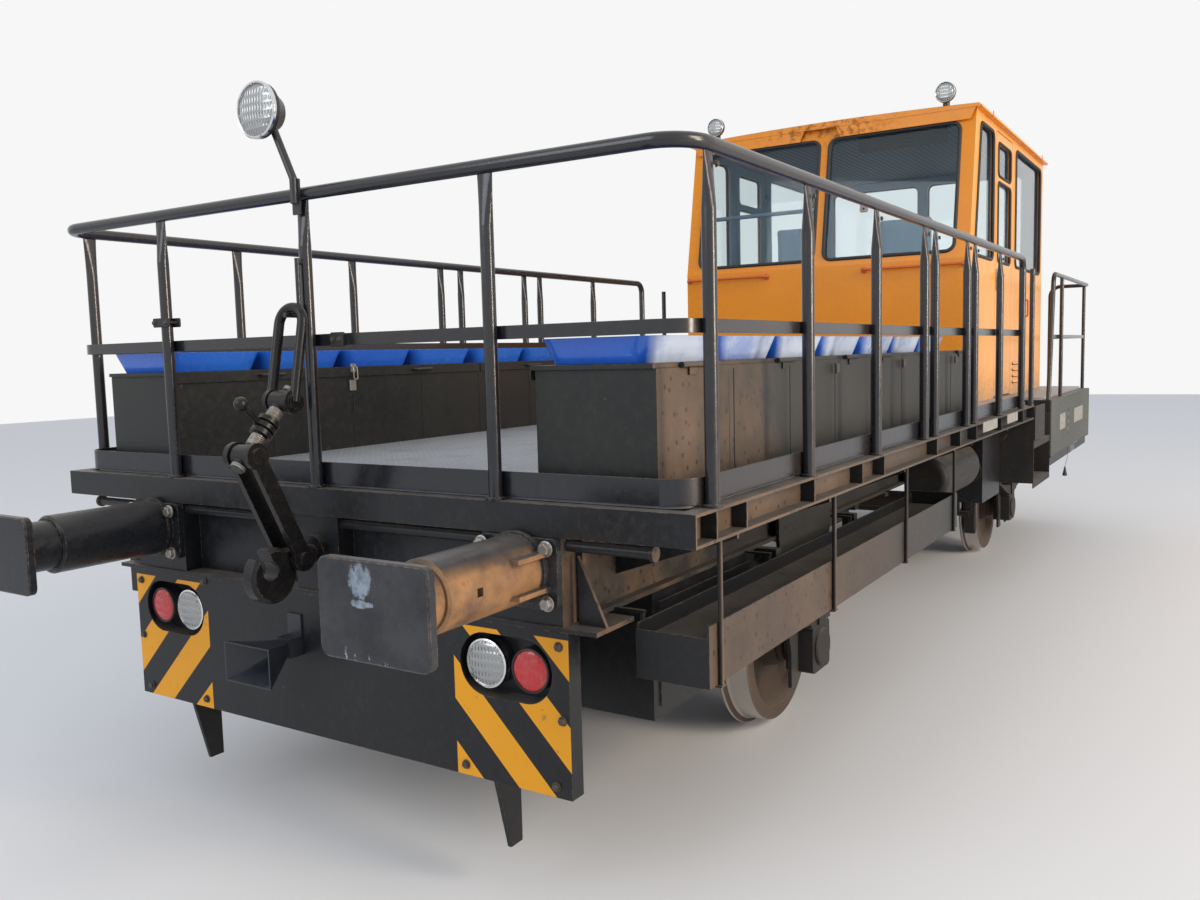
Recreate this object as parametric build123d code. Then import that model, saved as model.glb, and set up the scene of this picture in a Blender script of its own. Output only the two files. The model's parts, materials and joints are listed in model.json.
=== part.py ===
# Motor rail trolley: two axles, an open railed deck with bench boxes, and a cab at the far end.
# Millimetres. +X runs from the open deck end to the cab end, -Y is the right side, +Z is up.
# Origin: middle of the floor box. The floor is the lowest point of the wheel flanges.
# A "station" is a distance from the outer face of the open end's deck beam, towards the cab.
from build123d import *
import math
import os

# Overall sizes
LENGTH_OVER_BUFFERS = 9340.0
BUFFER_REACH = 607.0
DECK_LENGTH = LENGTH_OVER_BUFFERS - 2 * BUFFER_REACH
DECK_HALF_WIDTH = 1460.0
FLANGE_DEPTH = 28.0
RAIL_TOP = FLANGE_DEPTH
BUFFER_HEIGHT = 1050.0
DECK_ABOVE_BUFFER = 192.0
DECK_Z = RAIL_TOP + BUFFER_HEIGHT + DECK_ABOVE_BUFFER
SEAT_GAP = 0.3
CUT = 1.0  # how far a cutting shape runs past the face that it opens

# Deck edge frame: channels on edge all round the deck
EDGE_HEIGHT = 95.0
EDGE_FLANGE = 50.0
EDGE_WEB = 7.0
EDGE_LIP = 9.0
EDGE_BOTTOM = DECK_Z - EDGE_HEIGHT
FLOOR_THICKNESS = 20.0
FLOOR_INSET = 60.0
FLOOR_TOP = DECK_Z + FLOOR_THICKNESS
FLOOR_EDGE_STEP = 60.0
FLOOR_CORNER = 75.0

# Wheelsets, set out from the inner faces of the wheels
WHEEL_RADIUS = 360.0
WHEEL_BACK = 797.0
WHEEL_RIM_WIDTH = 135.0
FLANGE_THICKNESS = 32.0
FLANGE_FACE_SHARE = 0.62
FLANGE_TIP_SHARE = 0.36
RIM_INNER_RADIUS = 296.0
RIM_EDGE = 8.0
TREAD_TAPER = 5.0
FLANGE_ROOT = 12.0
WEB_ROOT = 18.0
WEB_HUB_SET = 48.0
WEB_RIM_SET = 61.0
WEB_HUB_Y = WHEEL_BACK + WEB_HUB_SET
WEB_RIM_Y = WHEEL_BACK + WEB_RIM_SET
HUB_OVERHANG = 17.0
HUB_LENGTH = 170.0
HUB_INNER = WHEEL_BACK - HUB_OVERHANG
HUB_OUTER = HUB_INNER + HUB_LENGTH
WHEEL_HUB_RADIUS = 105.0
WHEEL_WEB = 26.0
AXLE_RADIUS = 78.0
AXLE_SEAT_STEP = 10.0
AXLE_SHOULDER = 20.0
AXLE_BODY_END = HUB_INNER - AXLE_SHOULDER
WHEEL_SEAT_REACH = 25.0
WHEEL_SEAT_END = HUB_OUTER + WHEEL_SEAT_REACH
JOURNAL_RADIUS = 60.0
JOURNAL_GAP = 0.3
AXLE_STATION = 1850.0
FAR_AXLE = DECK_LENGTH - AXLE_STATION
AXLE_Z = RAIL_TOP + WHEEL_RADIUS

# Axle boxes, guards and springs, set out from the ends of the wheel seats
BOX_SEAT_CLEARANCE = 28.0
BOX_DEPTH = 125.0
BOX_INNER_Y = WHEEL_SEAT_END + BOX_SEAT_CLEARANCE
BOX_OUTER_Y = BOX_INNER_Y + BOX_DEPTH
BOX_END_WALL = 16.0
JOURNAL_END = BOX_OUTER_Y - BOX_END_WALL
BOX_WIDTH = 210.0
BOX_HEIGHT = 210.0
BOX_CORNER = 24.0
BOX_CAP_RADIUS = 84.0
BOX_CAP_DEPTH = 14.0
BOX_SLOT_GAP = 0.5
BOX_END_FLOAT = 4.0
GUARD_SET_IN_BOX = 42.0
FRAME_HALF_WIDTH = BOX_INNER_Y + GUARD_SET_IN_BOX
GUARD_PLATE = 16.0
GUARD_SPREAD = 620.0
GUARD_LEG = 78.0
GUARD_DROP = 150.0
SPRING_HALF_SPAN = 480.0
SPRING_LEAF = 13.0
SPRING_LEAVES = 6
SPRING_SHORT_SHARE = 0.242
SPRING_WIDTH = 60.0
SPRING_SET_OUT = 52.0
SPRING_Y = FRAME_HALF_WIDTH + SPRING_SET_OUT
SPRING_CAMBER = 62.0
SPRING_BUCKLE = 90.0
SPRING_EYE_RADIUS = 22.0
SPRING_WRAP = 10.0
SPRING_LINK = 22.0
SPRING_SHACKLE = 70.0

# Cab
CAB_END_SET = 281.0
CAB_LENGTH = 2950.0
CAB_SIDE_SET = 382.0
CAB_END = DECK_LENGTH - CAB_END_SET
CAB_START = CAB_END - CAB_LENGTH
CAB_HALF_WIDTH = DECK_HALF_WIDTH - CAB_SIDE_SET
CAB_WALL = 40.0
CAB_WAIST_Z = DECK_Z + 1030.0
CAB_EAVES_Z = DECK_Z + 2056.0
CAB_RAKE = 195.0
ROOF_THICKNESS = 46.0
ROOF_OVERHANG = 26.0
ROOF_CROWN = 22.0
ROOF_BROW = 40.0
ROOF_TOP = CAB_EAVES_Z + ROOF_THICKNESS
GUTTER = 14.0
BROW_BOARD_DROP = 76.0
BROW_BOARD_THICKNESS = 6.0
BROW_BOARD_SET_BACK = 3.0
BROW_BOARD_SLANT = 34.0
BROW_NOTCH = (-88.0, 158.0)
ROOF_LAMP_SET_BACK = 135.0
ROOF_LAMP_INSET = 200.0
ROOF_LAMP_STATION = CAB_START + ROOF_LAMP_SET_BACK
ROOF_LAMP_Y = CAB_HALF_WIDTH - ROOF_LAMP_INSET
ROOF_LAMP_RADIUS = 70.0
ROOF_LAMP_DEPTH = 76.0
ROOF_LAMP_STEM = 6.0

# Windows and doors of the cab
WINDOW_CORNER = 60.0
GLASS_THICKNESS = 6.0
SCREEN_INNER_Y = 38.0
SCREEN_SIDE = 103.0
SCREEN_SILL = 48.0
SCREEN_HEAD = 84.0
SCREEN_OUTER_Y = CAB_HALF_WIDTH - SCREEN_SIDE
SCREEN_BOTTOM_Z = CAB_WAIST_Z + SCREEN_SILL
SCREEN_TOP_Z = CAB_EAVES_Z - SCREEN_HEAD
SIDE_WINDOW_SILL = 25.0
SIDE_WINDOW_HEAD = 71.0
SIDE_WINDOW_BOTTOM_Z = CAB_WAIST_Z + SIDE_WINDOW_SILL
SIDE_WINDOW_TOP_Z = CAB_EAVES_Z - SIDE_WINDOW_HEAD
FRONT_PILLAR = 150.0
FRONT_SIDE_WINDOW_LENGTH = 610.0
DOOR_SET_BACK = 857.0
DOOR_WIDTH = 640.0
DOOR_START = CAB_START + DOOR_SET_BACK
DOOR_END = DOOR_START + DOOR_WIDTH
MIDDLE_PILLAR = 138.0
REAR_PILLAR = 145.0
FRONT_SIDE_WINDOW = (CAB_START + FRONT_PILLAR, CAB_START + FRONT_PILLAR + FRONT_SIDE_WINDOW_LENGTH)
REAR_SIDE_WINDOW = (DOOR_END + MIDDLE_PILLAR, CAB_END - REAR_PILLAR)
DOOR_HEAD = 36.0
DOOR_UPPER_PANE = 313.0
DOOR_GRIP_DROP = 100.0
DOOR_TOP_Z = CAB_EAVES_Z - DOOR_HEAD
DOOR_WINDOW_BAR_Z = SIDE_WINDOW_TOP_Z - DOOR_UPPER_PANE
DOOR_GRIP_Z = CAB_WAIST_Z - DOOR_GRIP_DROP
DOOR_WINDOW_SIDE = 78.0
DOOR_GAP = 8.0
DOOR_BAR = 44.0
DOOR_PANE_CORNER = 45.0
DOOR_HINGE_Z = (DECK_Z + 250.0, DECK_Z + 1000.0, DECK_Z + 1750.0)
DOOR_KNUCKLE = 40.0
DOOR_STRAP = 60.0
DOOR_GRIP = 30.0
DOOR_FLOOR_GAP = 12.0
DOOR_PIN_RADIUS = 9.0
DOOR_PIN_INSET = 14.0
DOOR_PIN_Y = CAB_HALF_WIDTH - CAB_WALL - DOOR_PIN_INSET
DOOR_PIN_X = DOOR_END - DOOR_GAP / 2 - DECK_LENGTH / 2
LOUVRE_SET_BACK = 88.0
LOUVRE_LENGTH = 560.0
LOUVRE_START = DOOR_END + LOUVRE_SET_BACK
LOUVRE_END = LOUVRE_START + LOUVRE_LENGTH
LOUVRE_LOWEST_Z = DECK_Z + 105.0
LOUVRE_PITCH = 50.0
LOUVRE_COUNT = 4
LOUVRE_OPEN = 26.0
LOUVRE_BACK = 6.0
REAR_WINDOW_SIDE = 178.0
REAR_WINDOW_HALF = CAB_HALF_WIDTH - REAR_WINDOW_SIDE
REAR_WINDOW_SPLIT = 45.0

# Cab inside
DRIVER_SEAT_SET_BACK = 605.0
DRIVER_SEAT_STATION = CAB_START + DRIVER_SEAT_SET_BACK
DRIVER_SEAT_Y = 430.0
DRIVER_SEAT_HEIGHT = 540.0
DRIVER_BACK_HEIGHT = 800.0
CREW_BENCH_SET = 565.0
CREW_BENCH_STATION = CAB_END - CREW_BENCH_SET
CREW_BENCH_SIDE_GAP = 188.0
CREW_BENCH_WIDTH = 2 * (CAB_HALF_WIDTH - CAB_WALL - CREW_BENCH_SIDE_GAP)
CREW_SEAT_HEIGHT = 430.0
CREW_BACK_HEIGHT = 580.0
CAB_SEAT_DEPTH = 440.0
CAB_SEAT_WIDTH = 440.0
CUSHION_THICKNESS = 80.0
CUSHION_CORNER = 36.0
SEAT_BOARD = 12.0
SEAT_BOARD_SHARE = 0.7
SEAT_STAND_RADIUS = 40.0
SEAT_BASE_RADIUS = 120.0
SEAT_BASE_THICKNESS = 10.0
DESK_DEPTH = 330.0
DESK_HEIGHT = 860.0
DESK_FOOT_DEPTH = 198.0
DESK_TOP_DEPTH = 264.0
DESK_KNEE_DROP = 165.0
DESK_EDGE_DROP = 110.0
DESK_RISE = 41.0
DESK_SIDE_GAP = 2.0

# Walkways and entry steps beside the cab
STEP_SET_BACK = 290.0
STEP_LENGTH = 705.0
STEP_START = CAB_START + STEP_SET_BACK
STEP_END = STEP_START + STEP_LENGTH
PANEL_DEPTH = 430.0
PANEL_THICKNESS = 8.0
STRIPE_DEPTH = 85.0
STEP_DEPTH = 240.0
STEP_INNER_Y = DECK_HALF_WIDTH - STEP_DEPTH
STEP_Z = (DECK_Z - 270.0, DECK_Z - 550.0)
STEP_THICKNESS = 6.0
STEP_CHEEK = 8.0
STEP_NOSE = 34.0
STEP_BAND = 400.0
STEP_BAND_DEPTH = 150.0
STRIPE_SET_BACK = 20.0
WALK_FOOT_SET = 35.0
WALK_LEAN = 165.0
WALK_MIDDLE_SET = 625.0
WALK_END_SET = 26.0
WALK_INNER_SET = 42.0
WALK_RAIL_FOOT = STEP_END + WALK_FOOT_SET
WALK_RAIL_START = WALK_RAIL_FOOT + WALK_LEAN
WALK_RAIL_MIDDLE = STEP_END + WALK_MIDDLE_SET
WALK_RAIL_END = DECK_LENGTH - WALK_END_SET
WALK_RAIL_INNER_Y = CAB_HALF_WIDTH + WALK_INNER_SET
ENTRY_POST_SET = 25.0
ENTRY_POST_STATION = STEP_START - ENTRY_POST_SET
ENTRY_FOOT_RADIUS = 20.5
THIN_POST_RADIUS = 17.0
WALK_POST_RADIUS = 15.0
WALK_BAR_HEIGHT = 27.0
WALK_RAIL_Z = DECK_Z + 955.0
WALK_MID_Z = DECK_Z + 480.0
WALK_BEND = 90.0
WALK_CORNER_SHARE = 0.293

# Boxes, tanks and engine under the frame
LOCKER_TO_AXLE = 520.0
LOCKER_LENGTH = 830.0
LOCKER_END = AXLE_STATION - LOCKER_TO_AXLE
LOCKER_START = LOCKER_END - LOCKER_LENGTH
LOCKER_DEPTH = 405.0
LOCKER_INNER_Y = FRAME_HALF_WIDTH - LOCKER_DEPTH
LOCKER_BOTTOM = DECK_Z - 800.0
LOCKER_FRAME = 40.0
LOCKER_DOOR = 6.0
DISC_SET_OUT = 105.0
DISC_Y = FRAME_HALF_WIDTH + DISC_SET_OUT
DISC_Z = DECK_Z - 400.0
DISC_RADIUS = 82.0
DISC_DEPTH = 12.0
BATTERY_BEFORE_CAB = 295.0
BATTERY_LENGTH = 550.0
BATTERY_WIDTH = 195.0
BATTERY_START = CAB_START - BATTERY_BEFORE_CAB
BATTERY_END = BATTERY_START + BATTERY_LENGTH
BATTERY_OUTER_Y = FRAME_HALF_WIDTH + BATTERY_WIDTH
BATTERY_TOP = DECK_Z - 150.0
BATTERY_BOTTOM = DECK_Z - 620.0
TANK_RADIUS = 150.0
TANK_TO_BATTERY = 300.0
TANK_LENGTH = 850.0
TANK_SET_OUT = 95.0
TANK_END = BATTERY_START - TANK_TO_BATTERY
TANK_START = TANK_END - TANK_LENGTH
TANK_Y = FRAME_HALF_WIDTH + TANK_SET_OUT
TANK_Z = DECK_Z - 330.0
TANK_END_ROUND = 37.5
TANK_BAND = 120.0
TANK_STRAP_HALF = 30.0
RESERVOIR_RADIUS = 120.0
RESERVOIR_LENGTH = 900.0
RESERVOIR_PAST_AXLE = 830.0
RESERVOIR_START = AXLE_STATION + RESERVOIR_PAST_AXLE
RESERVOIR_Z = DECK_Z - 420.0
RESERVOIR_END_ROUND = 48.0
RESERVOIR_BAND_SHARES = (0.2, 0.8)
RESERVOIR_BAND_STEP = 4.0
RESERVOIR_BAND_HALF = 8.0
RESERVOIR_HANGER = 12.0
RESERVOIR_HANGER_LAP = 30.0
ENGINE_TO_AXLE = 1316.0
ENGINE_LENGTH = 1220.0
ENGINE_END = FAR_AXLE - ENGINE_TO_AXLE
ENGINE_START = ENGINE_END - ENGINE_LENGTH
ENGINE_TOP = DECK_Z - 130.0
ENGINE_BOTTOM = DECK_Z - 830.0
ENGINE_SUMP_TOP = DECK_Z - 560.0
ENGINE_STEP = 60.0

# Tool troughs hung under the deck edges
TROUGH_START = 200.0
TROUGH_TO_TANK = 240.0
TROUGH_SET_OUT = 105.0
TROUGH_INSET = 65.0
TROUGH_END = TANK_START - TROUGH_TO_TANK
TROUGH_INNER_Y = FRAME_HALF_WIDTH + TROUGH_SET_OUT
TROUGH_OUTER_Y = DECK_HALF_WIDTH - TROUGH_INSET
TROUGH_TOP = DECK_Z - 395.0
TROUGH_BOTTOM = DECK_Z - 545.0
TROUGH_LIP = 35.0
TROUGH_WALL = 6.0
HANGER_RADIUS = 8.0
HANGER_SHARES = (0.02, 0.345, 0.665, 0.965)
STRAP_WIDTH = 30.0

# Main frame under the deck
FRAME_DEPTH = 360.0
FRAME_TOP = DECK_Z
FRAME_BOTTOM = FRAME_TOP - FRAME_DEPTH
SOLEBAR_FLANGE = 85.0
SOLEBAR_WEB = 12.0
SOLEBAR_LIP = 14.0
CENTRE_BEAM_Y = 330.0
CENTRE_BEAM_FLANGE = 70.0
HEADSTOCK_SET_BACK = 100.0
HEADSTOCK_PLATE = 20.0
AXLE_BEAMS = (-670.0, 750.0)
ENGINE_BEAM_GAP = 120.0
FAR_AXLE_BEAMS = (-776.0, 844.0)
CROSS_BEAM_STATIONS = (
    AXLE_STATION + AXLE_BEAMS[0], AXLE_STATION + AXLE_BEAMS[1], ENGINE_START - ENGINE_BEAM_GAP,
    ENGINE_END + ENGINE_BEAM_GAP, FAR_AXLE + FAR_AXLE_BEAMS[0], FAR_AXLE + FAR_AXLE_BEAMS[1],
)
CROSS_BEAM_WIDTH = 90.0
CROSS_BEAM_DEPTH = 240.0
OPEN_END_OUTRIGGERS = (330.0, 1120.0, 2080.0)
TROUGH_OUTRIGGERS = (-210.0, 190.0)
CAB_OUTRIGGER = -495.0
CAB_END_OUTRIGGERS = (2026.0, 1226.0, 526.0)
OUTRIGGER_STATIONS = (
    *OPEN_END_OUTRIGGERS, *(TROUGH_END + step for step in TROUGH_OUTRIGGERS), CAB_START + CAB_OUTRIGGER,
    *(DECK_LENGTH - step for step in CAB_END_OUTRIGGERS),
)
STIFFENER_SHARES = (0.0251, 0.0636, 0.1707, 0.27, 0.324, 0.486, 0.5767, 0.65, 0.7811, 0.918)
OUTRIGGER_THICKNESS = 12.0
OUTRIGGER_TIP_DEPTH = 25.0
OUTRIGGER_ROOT_DEPTH = 265.0
OUTRIGGER_END_INSET = 30.0
GUSSET_TOP_DROP = 60.0
GUSSET_STATION = 60.0
GUSSET_THICKNESS = 12.0
BUFFER_PAD_FRONT = 8.0
END_BAR_RADIUS = 17.0
END_BAR_STATION = 40.0
END_BAR_DROP = 124.0
END_BAR_INSET = 144.0
END_BAR_COLLAR = 6.0

# Buffers and draw gear
BUFFER_Y = 875.0
BUFFER_FACE_WIDTH = 376.0
BUFFER_FACE_HEIGHT = 262.0
BUFFER_FACE_CORNER = 30.0
BUFFER_FACE_THICKNESS = 26.0
BUFFER_FACE_CHAMFER = 4.0
PLUNGER_RADIUS = 88.0
SLEEVE_RADIUS = 104.0
SLEEVE_LENGTH = 420.0
SLEEVE_EDGE = 8.0
SLEEVE_COLLAR = 16.0
SLEEVE_SLOT = 24.0
SLEEVE_SLOT_SET_BACK = 110.0
SLEEVE_SLOT_DEPTH = 20.0
SLEEVE_RIB_LENGTH = 150.0
SLEEVE_RIB_THICKNESS = 14.0
SLEEVE_RIB_Z = 52.0
BUFFER_BASE_WIDTH = 290.0
BUFFER_BASE_HEIGHT = 212.0
BUFFER_BASE_DROP = 12.0
BUFFER_BASE_THICKNESS = 22.0
BUFFER_NECK = 60.0
HOOK_Z = DECK_Z - 222.0
HOOK_PIN_STATION = -95.0
HOOK_PIN_RADIUS = 22.0
HOOK_THICKNESS = 62.0
HOOK_EDGE = 12.0
HOOK_HEAD_RADIUS = 92.0
HOOK_MOUTH_RADIUS = 31.0
HOOK_HEAD_STATION = -195.0
HOOK_HEAD_DROP = 42.0
HOOK_SHANK = 62.0
HOOK_PLATE = 210.0
HOOK_MOUTH_SHIFT = 20.0
HOOK_THROAT_ANGLE = 115.0
HOOK_LIP = 16.0
HOOK_WASHER = 26.0
HOOK_NUT_RADIUS = 56.0
HOOK_TAIL = 90.0

# End skirts, lamps in them and rail guards
SHELF_OVERHANG = 95.0
SKIRT_INSET = 4.0
SKIRT_HALF_WIDTH = FRAME_HALF_WIDTH - SKIRT_INSET
SHELF_THICKNESS = 14.0
SHELF_HALF_WIDTH = FRAME_HALF_WIDTH + SHELF_OVERHANG
SHELF_DEPTH = 210.0
SKIRT_TOP = FRAME_BOTTOM - SHELF_THICKNESS
SKIRT_HEIGHT = 505.0
SKIRT_BOTTOM = SKIRT_TOP - SKIRT_HEIGHT
SKIRT_THICKNESS = 10.0
SKIRT_RETURN = 60.0
LAMP_SLOT_Y = 805.0
LAMP_SLOT_Z = DECK_Z - 510.0
LAMP_SLOT_LENGTH = 350.0
LAMP_SLOT_HEIGHT = 200.0
LAMP_TROUGH_DEPTH = 62.0
LAMP_TROUGH_WALL = 4.0
WHITE_LAMP_Y = 725.0
RED_LAMP_Y = 893.0
WHITE_LAMP_RADIUS = 77.0
RED_LAMP_RADIUS = 68.0
LAMP_BODY_DEPTH = 50.0
LAMP_LENS_EDGE = 12.0
SKIRT_RIB_Y = 520.0
RAIL_GUARD_Y = 745.0
RAIL_GUARD_WIDTH = 60.0
RAIL_GUARD_THICKNESS = 14.0
RAIL_GUARD_CLEARANCE = 120.0
RAIL_GUARD_STATION = 70.0

# Railing round the open deck
RAIL_INSET = 20.0
RAIL_BEFORE_CAB = 105.0
RAIL_TUBE_RADIUS = 21.5
RAIL_Y = DECK_HALF_WIDTH - RAIL_INSET
RAIL_STATION = 24.0
RAIL_LAST_STATION = CAB_START - RAIL_BEFORE_CAB
RAIL_Z = DECK_Z + 985.0
RAIL_CORNER_RADIUS = 125.0
RAIL_END_RADIUS = 70.0
POST_RADIUS = 21.0
POST_FLAT = 12.0
POST_FLAT_WIDTH = 56.0
POST_TAPER = 150.0
SIDE_POST_SHARES = (0.0303, 0.1848, 0.3413, 0.4916, 0.5303, 0.6681, 0.7056, 0.8476)
FRONT_POST_Y = (-775.0, 0.0, 775.0)
MID_BAR_Z = DECK_Z + 500.0
MID_BAR_HEIGHT = 40.0
MID_BAR_THICKNESS = 8.0
TOE_HEIGHT = 76.0
TOE_THICKNESS = 6.0
MID_BAR_CORNER = 90.0
POST_FOOT = 62.0
POST_FOOT_THICKNESS = 8.0

# Work lamps: one on an arm in front of the middle post, two on the cab roof
LAMP_RIM = 22.0
LAMP_STEP_SHARE = 0.93
LAMP_BACK = ((0.62, 0.85), (0.3, 1.0))  # shares of the radius and of the depth
HEADLAMP_Z = DECK_Z + 1258.0
HEADLAMP_STATION = -62.0
HEADLAMP_Y = 102.0
HEADLAMP_RADIUS = 90.0
HEADLAMP_DEPTH = 88.0
ARM_RADIUS = 13.0
ARM_PLATE_RISE = 46.0
ARM_PLATE_DROP = 70.0
ARM_PLATE_WIDTH = 34.0
ARM_PLATE = 8.0
ARM_TOP_DEPTH = 44.0

# Coupling held up in front of the middle post, as (station, height above the deck)
LINK_TOP = (-262.0, 135.0)
SCREW_TOP = (-104.0, 300.0)
BOW_TOP = (-44.0, 608.0)
COUPLING_HALF_GAP = 49.0
LINK_WIDTH = 56.0
LINK_THICKNESS = 20.0
LINK_EYE_RADIUS = 43.0
TRUNNION_RADIUS = 25.0
TRUNNION_HALF = 66.0
NUT_RADIUS = 36.0
NUT_HALF = 33.0
SCREW_RADIUS = 22.0
SCREW_TAIL = 55.0
BOW_RADIUS = 17.0
BOW_HALF_WIDTH = 56.0
BOW_BEND = 55.0
BOW_EYE_RADIUS = 40.0
LEVER_LENGTH = 120.0
LEVER_RADIUS = 11.0
LEVER_KNOB_RADIUS = 23.0
LEVER_COLLARS = (-24.0, 0.0, 24.0)
LEVER_COLLAR_RADIUS = 37.0
LEVER_COLLAR_HALF = 8.0
PEG_RADIUS = 8.0
PEG_REACH = 64.0
PEG_ROD_STATION = -14.0
PEG_ROD_RISE = 150.0
PEG_ROD_END = 14.0

# Bench boxes with seats on their lids
BENCH_TO_RAIL = 150.0
BENCH_DEPTH = 415.0
BENCH_START = 107.0
FRONT_BOX_LENGTH = 1883.0
BENCH_END_CLEARANCE = 890.0
BENCH_SPLIT = BENCH_START + FRONT_BOX_LENGTH
BENCH_END = RAIL_LAST_STATION - BENCH_END_CLEARANCE
BENCH_OUTER_Y = RAIL_Y - BENCH_TO_RAIL
BENCH_INNER_Y = BENCH_OUTER_Y - BENCH_DEPTH
BENCH_HEIGHT = 385.0
BENCH_WALL = 6.0
LID_THICKNESS = 14.0
LID_GAP = 8.0
LID_HINGE_RADIUS = 9.0
LID_OVERHANG = 12.0
LID_RIM = 30.0
LID_RIM_WALL = 4.0
LID_EDGE_GAP = 4.0
HINGE_SET_OUT = 7.0
HINGE_Y = BENCH_OUTER_Y + HINGE_SET_OUT
HINGE_Z = DECK_Z + BENCH_HEIGHT + SEAT_GAP + LID_THICKNESS / 2
HINGE_PLATE = 30.0
HINGE_SHARES = (0.12, 0.5, 0.88)
KNUCKLE = 25.0
HANDLE_SHARES = (0.25, 0.75)
HANDLE_HALF = 60.0
HANDLE_REACH = 34.0
HANDLE_RADIUS = 6.0
HANDLE_BEND = 20.0
SEAT_PITCH = 468.0
SEAT_LENGTH = 452.0
SEAT_DEPTH = 400.0
SEAT_HEIGHT = 78.0
SEAT_RIM = 10.0
SEAT_DISH = 36.0
SEAT_DISH_INSET = 65.0
SEAT_CORNER = 55.0
SEAT_FLARE = 26.0
SEAT_END_GAP = 8.0
LID_FREE_END = {"front": 0.0, "rear": 450.0}  # length of each lid that has no seats

# Brake gear on each wheel
BRAKE_BLOCK_ANGLE = 50.0
BRAKE_BLOCK_THICKNESS = 55.0
BRAKE_BLOCK_WIDTH = 80.0
BRAKE_CLEARANCE = 8.0
BRAKE_HANGER = 24.0
BRAKE_HANGER_LAP = 6.0
BRAKE_BEAM_RADIUS = 21.5

# Horn in front of the open end's skirt
HORN_Y = 120.0
HORN_Z = DECK_Z - 560.0
HORN_SHIFT = 30.0
HORN_DROP = 30.0
HORN_REACH = 190.0
HORN_NECK = 60.0
HORN_THROAT = 34.0
HORN_WALL = 5.0
HORN_MOUTH_WIDTH = 230.0
HORN_MOUTH_HEIGHT = 140.0
HORN_BRACKET_RISE = 110.0
HORN_BRACKET_PLATE = 6.0

NODES = {}


def at(station):
    """X of a station along the deck."""
    return station - DECK_LENGTH / 2


def block(x0, x1, y0, y1, z0, z1):
    """Box between two corners."""
    size = (x1 - x0, y1 - y0, z1 - z0)
    return Pos((x0 + x1) / 2, (y0 + y1) / 2, (z0 + z1) / 2) * Box(*size)


def rod(start, end, radius):
    """Round bar between two points."""
    a = Vector(*start)
    b = Vector(*end)
    line = b - a
    plane = Plane(origin=a, z_dir=line)
    return plane * Cylinder(radius, line.length, align=(Align.CENTER, Align.CENTER, Align.MIN))


def bent_tube(points, radius, bends):
    """Round bar along straight runs joined by arcs."""
    path = FilletPolyline(*points, radius=bends)
    start = Vector(*points[0])
    toward = Vector(*points[1]) - start
    return sweep(Plane(origin=start, z_dir=toward) * Circle(radius), path=path)


def side_plate(outline, y, thickness):
    """Plate in an XZ plane from (x, z) corners, centred on y."""
    face = make_face(Polyline(*[(x, z) for x, z in outline], close=True))
    return extrude(Plane(origin=(0, y + thickness / 2, 0), x_dir=(1, 0, 0), z_dir=(0, -1, 0)) * face, thickness)


def cross_plate(outline, x, thickness):
    """Plate in a YZ plane from (y, z) corners, centred on x."""
    face = make_face(Polyline(*[(y, z) for y, z in outline], close=True))
    return extrude(Plane(origin=(x - thickness / 2, 0, 0), x_dir=(0, 1, 0), z_dir=(1, 0, 0)) * face, thickness)


def other_side(shape):
    """Copy of a shape mirrored to the left side."""
    return mirror(shape, about=Plane.XZ)


def other_end(shape):
    """Copy of a shape mirrored to the cab end."""
    return mirror(shape, about=Plane.YZ)


def fuse(shapes):
    """One joined shape from a list."""
    whole = shapes[0]
    return whole.fuse(*shapes[1:]) if len(shapes) > 1 else whole


def solids_of(shapes):
    """Every solid in a list of shapes."""
    found = []
    for shape in shapes:
        found.extend(shape.solids())
    return found


def node(name, shapes):
    """Keep separate solids together under one name."""
    found = solids_of(shapes)
    NODES[name] = found[0] if len(found) == 1 else Compound(children=found)


def four_corners(shape):
    """A shape at the front right, repeated at all four corners."""
    pair = [shape, other_side(shape)]
    return pair + [other_end(one) for one in pair]


def i_section(x0, x1, y, z0, z1, flange, web, lip):
    """Beam along X with an I section."""
    return fuse([
        block(x0, x1, y - flange / 2, y + flange / 2, z0, z0 + lip),
        block(x0, x1, y - flange / 2, y + flange / 2, z1 - lip, z1),
        block(x0, x1, y - web / 2, y + web / 2, z0, z1),
    ])


def cross_beam(x, half_length, z0, z1, flange, web, lip):
    """Beam along Y with an I section."""
    return fuse([
        block(x - flange / 2, x + flange / 2, -half_length, half_length, z0, z0 + lip),
        block(x - flange / 2, x + flange / 2, -half_length, half_length, z1 - lip, z1),
        block(x - web / 2, x + web / 2, -half_length, half_length, z0, z1),
    ])


def rounded_outline(points, radius):
    """Face with every corner rounded."""
    face = make_face(Polyline(*points, close=True))
    return fillet(face.vertices(), radius)


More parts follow.
